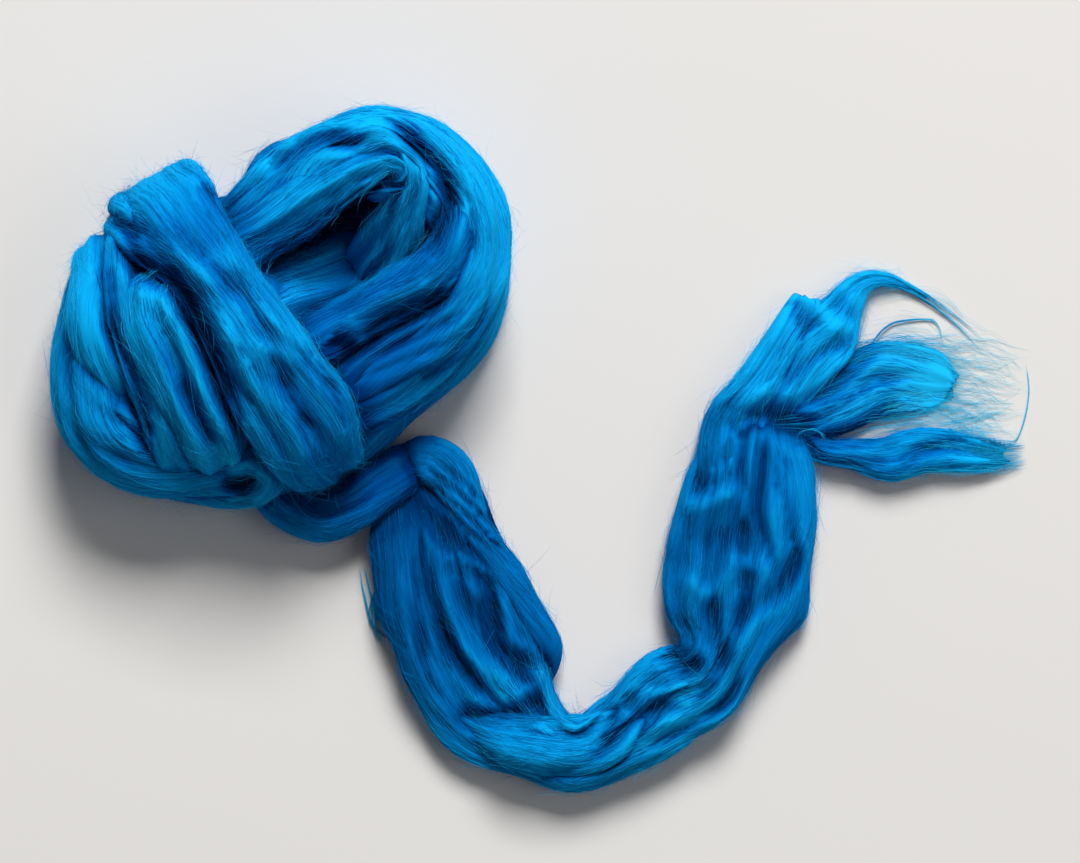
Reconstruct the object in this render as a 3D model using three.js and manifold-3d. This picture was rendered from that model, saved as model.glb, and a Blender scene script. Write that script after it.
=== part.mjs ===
// Cotton roving: a hank of dyed, combed fibre wound into a loose ball,
// with a loose tail that lies in a V beside it and ends in frayed locks.
// Millimetres, +Z up. It lies on a table at z = 0, with the origin at the middle of its footprint.
import * as THREE from "three";
import { mergeVertices } from "three/addons/utils/BufferGeometryUtils.js";
import Module from "manifold-3d";

const wasm = await Module();
wasm.setup();

// Driving dimensions
const GAP = 0.3; // between neighbouring pieces
const CLEARANCE = GAP * 1.7; // cut away round a neighbour, so that facets leave the gap too
const TURN_SIDES = 18; // points round a turn of the ball
const TURN_STEP = 7.5; // length of a step along a turn
const TAIL_SIDES = 32;
const TAIL_STEP = 4.5;
const LOCK_SIDES = 4;
const FOLD_SIDES = 14;
const LOCK_STEP = 6;
const FULLNESS = 0.8; // below 1 a section is fuller than an ellipse
const TABLE = { size: 800, depth: 100 }; // block cut away below the table's surface
const BELOW = [0, 0, -1e5]; // a core so far down that a band faces straight up

// The ball. Each turn is a flattened rope of roving whose face looks away from its core.
// pleats: ridges across the face. depth: their height as a share of the thickness. drift: their wander.
// Columns of rows: x, y, z, width, thick.
const TURNS = {
  ring_low: {
    core: [-85, 40, 12], closed: true, pleats: 2, depth: 0.04, drift: 2,
    rows: [
      [-22, 57, 12, 25, 24],
      [-29, 76, 12, 25, 24],
      [-47, 87, 12, 25, 24],
      [-67, 80, 12, 25, 24],
      [-88, 64, 12, 25, 24],
      [-110, 60, 12, 25, 24],
      [-125, 48, 12, 25, 24],
      [-131, 27, 12, 25, 24],
      [-128, 9, 12, 25, 24],
      [-112, -2, 12, 25, 24],
      [-90, -4, 12, 24, 24],
      [-64, 3, 12, 24, 24],
      [-43.5, 20.5, 12, 24, 24],
      [-27, 36, 12, 25, 24],
    ],
  },
  left_bulge: {
    core: [-105, 32, 14], pleats: 3, depth: 0.08, drift: 1,
    rows: [
      [-113, 62, 22, 18, 16],
      [-127, 52, 26, 22, 18],
      [-131, 38, 28, 26, 20],
      [-132.5, 21, 29, 29, 22],
      [-127.5, 5, 28, 29, 22],
      [-113, -3, 25, 26, 19],
      [-95, -2, 21, 22, 17],
      [-77, 0, 20, 16, 15],
    ],
  },
  ring_side: {
    core: [-52, 55, 16], pleats: 3, depth: 0.07, drift: 1,
    rows: [
      [-102, 56, 24, 16, 12],
      [-90, 62.5, 24, 18, 14],
      [-78, 74.5, 27, 19, 16],
      [-64, 84.5, 30, 22, 18],
      [-47, 90, 32, 24, 20],
      [-32, 81, 32, 25, 20],
      [-22, 67, 31, 26, 20],
      [-21.2, 50, 30, 26, 20],
      [-29, 34, 28, 26, 20],
      [-43, 21, 26, 24, 20],
      [-62, 11, 24, 22, 18],
    ],
  },
  rim: {
    core: [-50, 56, 10], pleats: 2, depth: 0.08, drift: 1,
    rows: [
      [-60, 91, 33, 7, 5],
      [-46, 95, 38, 12, 9],
      [-37, 91.5, 41, 17, 12],
      [-26, 82, 42, 19, 13],
      [-19, 71, 42, 19, 13],
      [-17.7, 58, 41, 19, 13],
      [-21, 44, 40, 18, 13],
      [-30, 32, 37, 18, 13],
      [-44, 23, 33, 18, 13],
      [-58, 14, 29, 17, 12],
    ],
  },
  top_sheet: {
    core: [-62, 62, 8], pleats: 2, depth: 0.08, drift: 1,
    rows: [
      [-103, 54, 28, 14, 11],
      [-92, 62, 32, 16, 12],
      [-81.5, 72, 37, 17, 13],
      [-70, 82.5, 41, 18, 13],
      [-57, 89, 44, 17, 13],
      [-47, 92, 46, 14, 12],
      [-39, 88.5, 45, 11, 10],
      [-33, 82, 42, 10, 8],
      [-31, 73, 35, 10, 8],
    ],
  },
  hook: {
    core: [-64, 60, 0], pleats: 2, depth: 0.08, drift: 1,
    rows: [
      [-98, 55, 36, 18, 13],
      [-86, 61, 40, 19, 13],
      [-74, 69, 43, 19, 13],
      [-62, 77, 45, 17, 12],
      [-52, 82.5, 47, 13, 11],
      [-45, 85, 47, 9, 9],
      [-40.5, 83, 46, 7, 7],
      [-41, 79, 44, 7, 7],
      [-45, 77, 42, 7, 7],
      [-51, 75.5, 38, 7, 7],
    ],
  },
  pocket_lobe: {
    core: [-62, 62, 8],
    rows: [
      [-92, 66, 20, 9, 8],
      [-84.5, 77.5, 24, 10, 9],
      [-78.5, 85, 29, 11, 10],
      [-71, 86, 34, 11, 9],
      [-63, 83, 36, 9, 8],
    ],
  },
  inner_fan: {
    core: BELOW, pleats: 3, depth: 0.12, drift: 1,
    rows: [
      [-46, 94, 44, 8, 6],
      [-41, 88, 45, 10, 7],
      [-38.5, 79, 43, 13, 8],
      [-40.5, 70, 38, 15, 8],
      [-44.5, 61, 29, 19, 8],
      [-49, 53, 19, 22, 8],
      [-53, 45, 8, 22, 8],
    ],
  },
  inner_ridge: {
    core: BELOW, pleats: 1, depth: 0.05, drift: 1,
    rows: [
      [-22, 86, 34, 9, 9],
      [-22, 74, 42, 13, 12],
      [-24, 62, 44, 15, 14],
      [-31, 52, 43, 15, 14],
      [-42, 45, 41, 15, 14],
      [-54, 38, 39, 15, 13],
      [-66, 31, 37, 15, 13],
      [-76, 25, 35, 13, 12],
    ],
  },
  lower_band: {
    core: [-52, 55, 0], pleats: 2, depth: 0.08, drift: 1,
    rows: [
      [-19, 60, 36, 15, 12],
      [-20, 47, 37, 17, 13],
      [-29, 36, 36, 18, 13],
      [-42, 27, 34, 18, 13],
      [-55, 19, 31, 18, 13],
      [-66, 10, 28, 17, 12],
    ],
  },
  hollow_floor: {
    core: BELOW, pleats: 2, depth: 0.06, drift: 1,
    rows: [
      [-90, 36, 36, 19, 13],
      [-79, 43, 31, 22, 13],
      [-68, 47, 25, 24, 13],
      [-57, 51, 16, 24, 13],
      [-46, 55, 9, 22, 13],
    ],
  },
  far_strap: {
    core: [-115, 28, 18], pleats: 2, depth: 0.08, drift: 0.5,
    rows: [
      [-129, 60, 10, 13, 11],
      [-130.5, 58, 25, 15, 12],
      [-130.5, 49, 37, 18, 13],
      [-130.5, 39, 41, 19, 13],
      [-128, 29, 41, 18, 13],
      [-123.5, 20, 38, 16, 13],
      [-117, 12, 33, 15, 12],
      [-110, 4, 26, 14, 12],
    ],
  },
  slim_strap: {
    core: [-105, 30, 18], pleats: 1, depth: 0.06, drift: 1,
    rows: [
      [-121, 63, 22, 10, 10],
      [-123, 59, 36, 10, 11],
      [-123, 49, 45, 10, 12],
      [-121, 39, 48, 11, 12],
      [-117.5, 28, 48, 12, 12],
      [-113, 15, 45, 12, 12],
      [-109, 3, 38, 12, 12],
      [-106.5, -4, 28, 12, 10],
      [-105.5, -5, 18, 11, 7],
      [-105, -2, 9, 10, 6],
    ],
  },
  arch_strap: {
    core: [-98, 28, 18], pleats: 2, depth: 0.08, drift: 1,
    rows: [
      [-96, 46, 38, 12, 10],
      [-105, 49, 46, 14, 12],
      [-113, 46, 51, 17, 13],
      [-113, 37, 54, 19, 13],
      [-108, 27, 53, 20, 13],
      [-102.5, 15, 49, 20, 13],
      [-97, 3, 40, 20, 13],
      [-95, -1.5, 30, 17, 11],
      [-94, -3.5, 20, 14, 9],
      [-93, -3, 10, 12, 7],
    ],
  },
  main_strap: {
    core: [-85, 35, 14], pleats: 3, depth: 0.06, drift: 0.7,
    rows: [
      [-111, 68, 8, 30, 12],
      [-115, 73.5, 24, 35, 13],
      [-110, 68.5, 43, 32, 14],
      [-101, 58.5, 54, 27, 14],
      [-94, 47, 58, 25, 14],
      [-86, 35, 58, 26, 14],
      [-78, 22, 54, 29, 14],
      [-70, 9, 46, 31, 14],
      [-66, 0, 36, 29, 14],
      [-63, -4, 21, 24, 13],
      [-62.5, -3, 7, 20, 12],
    ],
  },
  shoulder_fold: {
    core: [-85, 35, 14],
    rows: [
      [-120, 69, 7, 6, 3],
      [-122.5, 72, 20, 11, 8],
      [-121.5, 72, 31, 12, 9],
      [-118.5, 70, 39.5, 11, 8],
      [-114.5, 65.5, 47, 8, 5],
      [-109, 60, 52, 5, 3],
    ],
  },
  bottom_fold: {
    core: [-88, 14, 8], pleats: 1, depth: 0.06, drift: 1,
    rows: [
      [-100, -3, 26, 7, 5],
      [-92, -3.5, 31, 10, 8],
      [-85.5, -2.5, 33.5, 10, 9],
      [-80, -5, 31, 10, 9],
      [-80, -10, 25, 10, 9],
      [-85, -13.4, 19, 9, 9],
      [-94, -14, 16, 9, 9],
      [-103, -11.5, 15, 8, 8],
      [-111, -5.5, 13, 6, 6],
    ],
  },
  cross_band: {
    core: BELOW, pleats: 2, depth: 0.08, drift: 1,
    rows: [
      [-84, -4, 8, 14, 14],
      [-76, -15, 8, 15, 14],
      [-66, -20, 8.5, 15, 14],
      [-56, -17, 11, 15, 12],
      [-47, -10.5, 13.5, 16, 10],
      [-39, -5, 14.5, 16, 8],
      [-33, -2.5, 14, 13, 5],
    ],
  },
};

// Padding inside the turns. Columns: x, y, z, radius along x, along y, along z.
const PADDING = [
  [-104, 32, 22, 36, 38, 28],
  [-56, 56, 4, 36, 34, 8],
  [-88, 30, 43, 14, 14, 11],
];

// The loose tail, from under the cross band round the V to the pinch below the frayed end.
// Columns of rows: x, y, z, width, thick.
const TAIL = {
  core: BELOW, pleats: 4, depth: 0.09, drift: 2,
  rows: [
    [-41, 0, 3.2, 12, 6],
    [-37, -5, 4, 22, 8],
    [-33.5, -15, 5.2, 32, 11],
    [-31, -30, 7, 40, 15],
    [-26.3, -46.5, 7.5, 44, 16],
    [-20.3, -61, 7.5, 47, 16],
    [-14, -75, 6.5, 42, 14],
    [-1.5, -86.5, 6.5, 26, 14],
    [11.5, -91.5, 7.5, 22.5, 16],
    [25.4, -84, 7.5, 24.6, 16],
    [37.2, -74.5, 7.5, 29, 16],
    [48.6, -69.5, 7.5, 26, 16],
    [54.2, -60.5, 8, 26, 17],
    [57, -48, 7.5, 41, 16],
    [59.7, -34, 7.5, 44.5, 16],
    [61.7, -20, 7.5, 42.5, 16],
    [63.2, -8, 6.7, 37.5, 15],
    [63.2, 2, 5.7, 32, 12.6],
    [63.4, 9, 5, 29, 10.6],
  ],
};
// Folds that stand proud of the tail, each a slim band of its own. Columns of rows: x, y, z, width, thick.
const TAIL_FOLDS = {
  under_bend: {
    core: BELOW, pleats: 1, depth: 0.08, drift: 1,
    rows: [
      [-31, -73, 6.4, 3, 3],
      [-22, -81, 8, 9, 8],
      [-10, -86.5, 9, 16.5, 14.4],
      [3, -89.5, 9, 19, 16.5],
      [14, -89, 8.8, 18, 16.2],
      [22.5, -84.5, 8.6, 15, 15],
      [29.5, -78.5, 8, 11, 12.4],
      [37, -74, 6.8, 7, 8],
      [45, -70.5, 5.4, 3.5, 4],
    ],
  },
  shoulder_rim: {
    core: BELOW,
    rows: [
      [-34, -10, 6.5, 4, 4],
      [-26.5, -17, 9, 8, 7],
      [-18, -26, 10.5, 9, 8],
      [-10.5, -37, 10.5, 9.5, 8],
      [-4.3, -48, 10, 10, 8],
      [1.6, -57, 9, 9, 8],
      [2.8, -65, 7.5, 8, 7],
      [0.5, -73, 6, 5, 5],
    ],
  },
  facet: {
    core: BELOW,
    rows: [
      [-38, -5, 6.6, 9, 6],
      [-33.4, -2.2, 8.2, 11, 8],
      [-26.8, -5.6, 9.2, 12, 8],
      [-22.2, -14, 9.6, 10.5, 7.6],
      [-18.7, -23, 9, 8, 6.4],
      [-16, -31, 8, 5, 4.4],
    ],
  },
};
const SIDE_WISP = [
  [-38, -50, 3, 10, 6],
  [-45, -53, 2, 7, 4],
  [-49.5, -50, 1.2, 4.5, 2.4],
  [-52, -43, 0.8, 2.6, 1.6],
  [-53.5, -34, 0.6, 1.4, 1.2],
];

// The frayed end: a spread head in two halves, the right one running on as the top lock, and locks
// whose roots run into it. Columns of rows: x, y, z, width, thick.
const HEAD_LEFT = {
  core: BELOW, pleats: 2, depth: 0.07, drift: 1,
  rows: [
    [58.7, 4, 4, 19, 7],
    [59, 9, 5, 19.5, 9.6],
    [63.5, 15.2, 6, 17, 12],
    [68.5, 21.5, 6, 16.5, 12],
    [73, 28.8, 5.6, 15.5, 11.4],
    [77.4, 38, 4.8, 12.5, 9.6],
    [78.6, 43.2, 4.2, 10, 8],
    [78.5, 47.5, 3, 6.5, 4.6],
  ],
};
const HEAD_RIGHT = {
  core: BELOW, pleats: 2, depth: 0.07, drift: 1,
  rows: [
    [70, 10, 5, 15, 9.6],
    [74.5, 18.5, 5.9, 17, 12],
    [80, 27, 5.7, 20, 11.6],
    [86, 34.8, 5.2, 20, 10.6],
    [90.8, 42.6, 4.2, 12.5, 8.4],
    [95.5, 49, 3, 7.6, 5.6],
    [101.5, 51, 2, 5, 4],
    [109, 49.2, 1.4, 3.6, 3],
    [118, 44.5, 1, 2.4, 2.2],
    [127, 37, 0.7, 1.8, 1.6],
    [134, 30, 0.5, 1.2, 1.2],
  ],
};
const MIDDLE_SHEET = {
  core: BELOW, pleats: 3, depth: 0.1, drift: 1,
  rows: [
    [70, 8, 4.6, 16, 9],
    [79, 11.5, 4.6, 19, 9.4],
    [90, 15.5, 3.6, 21, 7.4],
    [102, 21, 2.4, 22, 5],
    [113, 21.3, 1.4, 18, 2.8],
    [121, 20, 1, 13, 2],
  ],
};
const LOWER_LOCK = {
  core: BELOW, pleats: 1, depth: 0.12, drift: 1,
  rows: [
    [77, 6, 4, 9, 8.2],
    [85, -0.5, 4, 8.4, 8.2],
    [93, -1.8, 4, 9, 8.2],
    [105, -2.8, 4, 14.5, 8.2],
    [115, -0.5, 3.6, 13, 7.2],
    [126, -1, 2.8, 11.5, 5.6],
    [135, -2, 1.7, 9, 3.4],
    [143, -1.9, 1.2, 5.6, 2.4],
  ],
};
// Fine locks that lie level on the table. Columns: root x, y; x, y half way; tip x, y; width at the root.
const FINE_LOCKS = [
  [93, 44, 97, 44.5, 100, 38, 2.2],
  [104, 29, 106, 37, 119, 37.5, 2.6],
  [105, 29, 113, 33.5, 123, 32, 2.2],
  [106, 27, 118, 29, 135, 29, 2.2],
  [107, 24.5, 120, 25.5, 139, 25.5, 2.4],
  [107, 22, 120, 22.5, 141, 21.5, 2.2],
  [107, 19.5, 120, 19.5, 133, 18, 2.4],
  [107, 17, 119, 16.5, 129, 15, 2.4],
  [106, 14.5, 118, 13.5, 140, 11.5, 2.6],
  [101, 13, 108, 9.5, 118, 9.5, 2.2],
  [124, 2, 131, 7, 138, 5.5, 2],
  [138, -1, 145, 6, 147, 24, 1.8],
];
const FINE_THICK = 1.6;

// Rows of a table as stations along a smooth line, about one step apart.
function stations(rows, step, closed = false) {
  const places = rows.map(([x, y, z]) => new THREE.Vector3(x, y, z));
  const girths = rows.map(([, , , width, thick]) => new THREE.Vector3(width, thick, 0));
  const route = new THREE.CatmullRomCurve3(places, closed);
  const sizes = new THREE.CatmullRomCurve3(girths, closed);
  const count = Math.round(route.getLength() / step);
  return Array.from({ length: closed ? count : count + 1 }, (_, i) => {
    const share = i / count;
    const t = route.getUtoTmapping(share);
    const size = sizes.getPoint(t);
    return { at: route.getPoint(t), along: route.getTangent(t), width: size.x, thick: size.y, share };
  });
}

// Points round a band at one station: its face looks away from the core, and pleats ripple the face.
function ring({ at, along, width, thick, share }, { core, pleats = 0, depth = 0, drift = 0 }, sides, grow) {
  const face = at.clone().sub(new THREE.Vector3(...core)).projectOnPlane(along).normalize();
  const side = face.clone().cross(along);
  const full = (value) => Math.sign(value) * Math.abs(value) ** FULLNESS;
  return Array.from({ length: sides }, (_, k) => {
    const angle = (2 * Math.PI * (k + 0.5)) / sides;
    const across = full(Math.cos(angle));
    const out = full(Math.sin(angle));
    const ripple = out > 0 ? 2 * depth * Math.cos(Math.PI * (pleats * across + drift * share)) : 0;
    return at.clone()
      .addScaledVector(side, across * (width / 2 + grow))
      .addScaledVector(face, out * ((thick / 2) * (1 + ripple) + grow));
  });
}

// A closed skin over rings of points. An open band has a fan of faces at each end.
function skin(rings, closed) {
  const sides = rings[0].length;
  const points = rings.flat();
  const faces = [];
  const fan = (first, flip) => {
    const middle = points.length;
    const end = points.slice(first, first + sides);
    points.push(end.reduce((sum, p) => sum.add(p), new THREE.Vector3()).divideScalar(sides));
    for (let k = 0; k < sides; k++) {
      const pair = [first + k, first + ((k + 1) % sides)];
      faces.push(middle, ...(flip ? pair.reverse() : pair));
    }
  };
  for (let i = 0; i < (closed ? rings.length : rings.length - 1); i++) {
    const here = i * sides;
    const next = ((i + 1) % rings.length) * sides;
    for (let k = 0; k < sides; k++) {
      const beside = (k + 1) % sides;
      faces.push(here + k, here + beside, next + beside);
      faces.push(here + k, next + beside, next + k);
    }
  }
  if (!closed) {
    fan(0, true);
    fan((rings.length - 1) * sides, false);
  }
  return new THREE.BufferGeometry().setFromPoints(points).setIndex(faces);
}

function toSolid(geometry) {
  const plain = geometry.clone();
  plain.deleteAttribute("normal");
  plain.deleteAttribute("uv");
  const merged = mergeVertices(plain, 1e-5);
  const vertProperties = new Float32Array(merged.attributes.position.array);
  const triVerts = new Uint32Array(merged.index.array);
  return new wasm.Manifold(new wasm.Mesh({ numProp: 3, vertProperties, triVerts }));
}

// A band of a table as a solid, grown all round by the given amount.
function band(table, sides, step, grow = 0) {
  const rings = stations(table.rows, step, table.closed).map((station) => ring(station, table, sides, grow));
  return toSolid(skin(rings, table.closed));
}

// The same table with its band run on past the last row by the clearance.
function runOn(table) {
  const [[fromX, fromY, fromZ], [x, y, z, ...size]] = table.rows.slice(-2);
  const onward = new THREE.Vector3(x - fromX, y - fromY, z - fromZ).setLength(CLEARANCE);
  return { ...table, rows: [...table.rows, [x + onward.x, y + onward.y, z + onward.z, ...size]] };
}

const join = (solids) => solids.reduce((sum, solid) => sum.add(solid));
const block = new THREE.BoxGeometry(TABLE.size, TABLE.size, TABLE.depth).translate(0, 0, -TABLE.depth / 2);
const below = toSolid(block);
const onTable = (solid) => solid.subtract(below);

// The outer body of a solid, with any closed hollow inside it left filled.
function outerBody(solid) {
  return solid.decompose().reduce((best, body) => (body.volume() > best.volume() ? body : best));
}

const padding = PADDING.map(([x, y, z, alongX, alongY, alongZ]) =>
  toSolid(new THREE.SphereGeometry(1, 24, 12).scale(alongX, alongY, alongZ).translate(x, y, z)));
const turns = Object.values(TURNS).map((turn) => band(turn, TURN_SIDES, TURN_STEP));
const ball = outerBody(onTable(join([...padding, ...turns])));

const wisp = band({ core: BELOW, rows: SIDE_WISP }, LOCK_SIDES, LOCK_STEP);
const ballBeside = [runOn(TURNS.cross_band), TURNS.ring_low];
const clearOfBall = ballBeside.map((turn) => band(turn, TURN_SIDES, TURN_STEP, CLEARANCE));
const folds = Object.values(TAIL_FOLDS).map((fold) => band(fold, FOLD_SIDES, LOCK_STEP));
const wholeTail = onTable(join([band(TAIL, TAIL_SIDES, TAIL_STEP), ...folds, wisp]));
const tail = outerBody(wholeTail.subtract(join(clearOfBall)));

const fineLocks = FINE_LOCKS.map(([rootX, rootY, midX, midY, tipX, tipY, width]) => {
  const half = FINE_THICK / 2;
  const rows = [
    [rootX, rootY, half, width, FINE_THICK],
    [midX, midY, half, width * 0.8, FINE_THICK],
    [tipX, tipY, half, width * 0.4, FINE_THICK],
  ];
  return band({ core: BELOW, rows }, LOCK_SIDES, LOCK_STEP);
});
const stoutLocks = [HEAD_LEFT, HEAD_RIGHT, MIDDLE_SHEET, LOWER_LOCK];
const stout = stoutLocks.map((table) => band(table, FOLD_SIDES, TAIL_STEP));
const wholeEnd = onTable(join([...stout, ...fineLocks]));
const clearOfTail = band(runOn(TAIL), TAIL_SIDES, TAIL_STEP, CLEARANCE);
const end = outerBody(wholeEnd.subtract(clearOfTail));

function toMesh(solid, name, colour) {
  const { vertProperties, triVerts } = solid.getMesh();
  const geometry = new THREE.BufferGeometry();
  geometry.setAttribute("position", new THREE.Float32BufferAttribute(vertProperties, 3));
  geometry.setIndex(Array.from(triVerts));
  geometry.computeVertexNormals();
  const mesh = new THREE.Mesh(geometry, new THREE.MeshStandardMaterial({ color: colour, roughness: 0.6 }));
  mesh.name = name;
  return mesh;
}

const roving = new THREE.Group();
roving.name = "cotton_roving";
roving.add(toMesh(ball, "wound_ball", 0x006bb2));
roving.add(toMesh(tail, "loose_tail", 0x0073bc));
roving.add(toMesh(end, "frayed_end", 0x0a86c8));
export default roving;
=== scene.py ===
import bpy
import numpy as np
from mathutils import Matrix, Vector
from mathutils.bvhtree import BVHTree


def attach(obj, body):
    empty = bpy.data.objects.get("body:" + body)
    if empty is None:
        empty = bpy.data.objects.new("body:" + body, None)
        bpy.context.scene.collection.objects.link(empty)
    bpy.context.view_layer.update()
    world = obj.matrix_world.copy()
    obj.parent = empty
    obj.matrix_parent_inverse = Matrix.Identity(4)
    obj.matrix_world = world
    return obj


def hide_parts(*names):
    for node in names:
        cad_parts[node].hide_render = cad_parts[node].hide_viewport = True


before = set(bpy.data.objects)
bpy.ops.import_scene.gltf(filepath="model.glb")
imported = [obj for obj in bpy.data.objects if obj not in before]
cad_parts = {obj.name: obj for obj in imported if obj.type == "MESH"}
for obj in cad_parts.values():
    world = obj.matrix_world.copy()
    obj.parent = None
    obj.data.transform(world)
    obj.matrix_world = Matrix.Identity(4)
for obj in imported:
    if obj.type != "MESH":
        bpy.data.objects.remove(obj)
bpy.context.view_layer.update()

MM = 0.001  # the tables are in millimetres, and Blender in metres
FULLNESS = 0.8  # below 1 a section is fuller than an ellipse
BELOW = (0, 0, -1e5)  # a core so far down that a band faces straight up
END_SINK, END_THIN = 0.3, 0.12  # how far a band's end sinks, and its thickness there, as shares of thick
SWAY = 0.045  # how far a band's edges sway, as a share of its width
OPEN_REACH = 16  # how far off another turn still darkens a point
BAND_LOW, FIBRE_LOW, SPRAY_LOW = 0.05, 0.02, 0.12  # lowest heights over the floor

# How fine the meshes are: points along a band and round it in millimetres, fibres to a square millimetre
STEP, PITCH = ((2.0, 0.55))
DENSITY, FUZZ, RIM_FUZZ = ((0.1, 0.02, 0.34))

# Camera, straight above the roving
VIEW = {"height": 2.0, "width": 0.324, "y": 0.00525, "sensor": 36.0}
camera = bpy.data.objects.new("camera", bpy.data.cameras.new("camera"))
camera.location = (0, VIEW["y"], VIEW["height"])
camera.data.sensor_width = VIEW["sensor"]
camera.data.lens = VIEW["sensor"] * VIEW["height"] / VIEW["width"]
camera.data.clip_end = 20.0
bpy.context.collection.objects.link(camera)
bpy.context.scene.camera = camera

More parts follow.
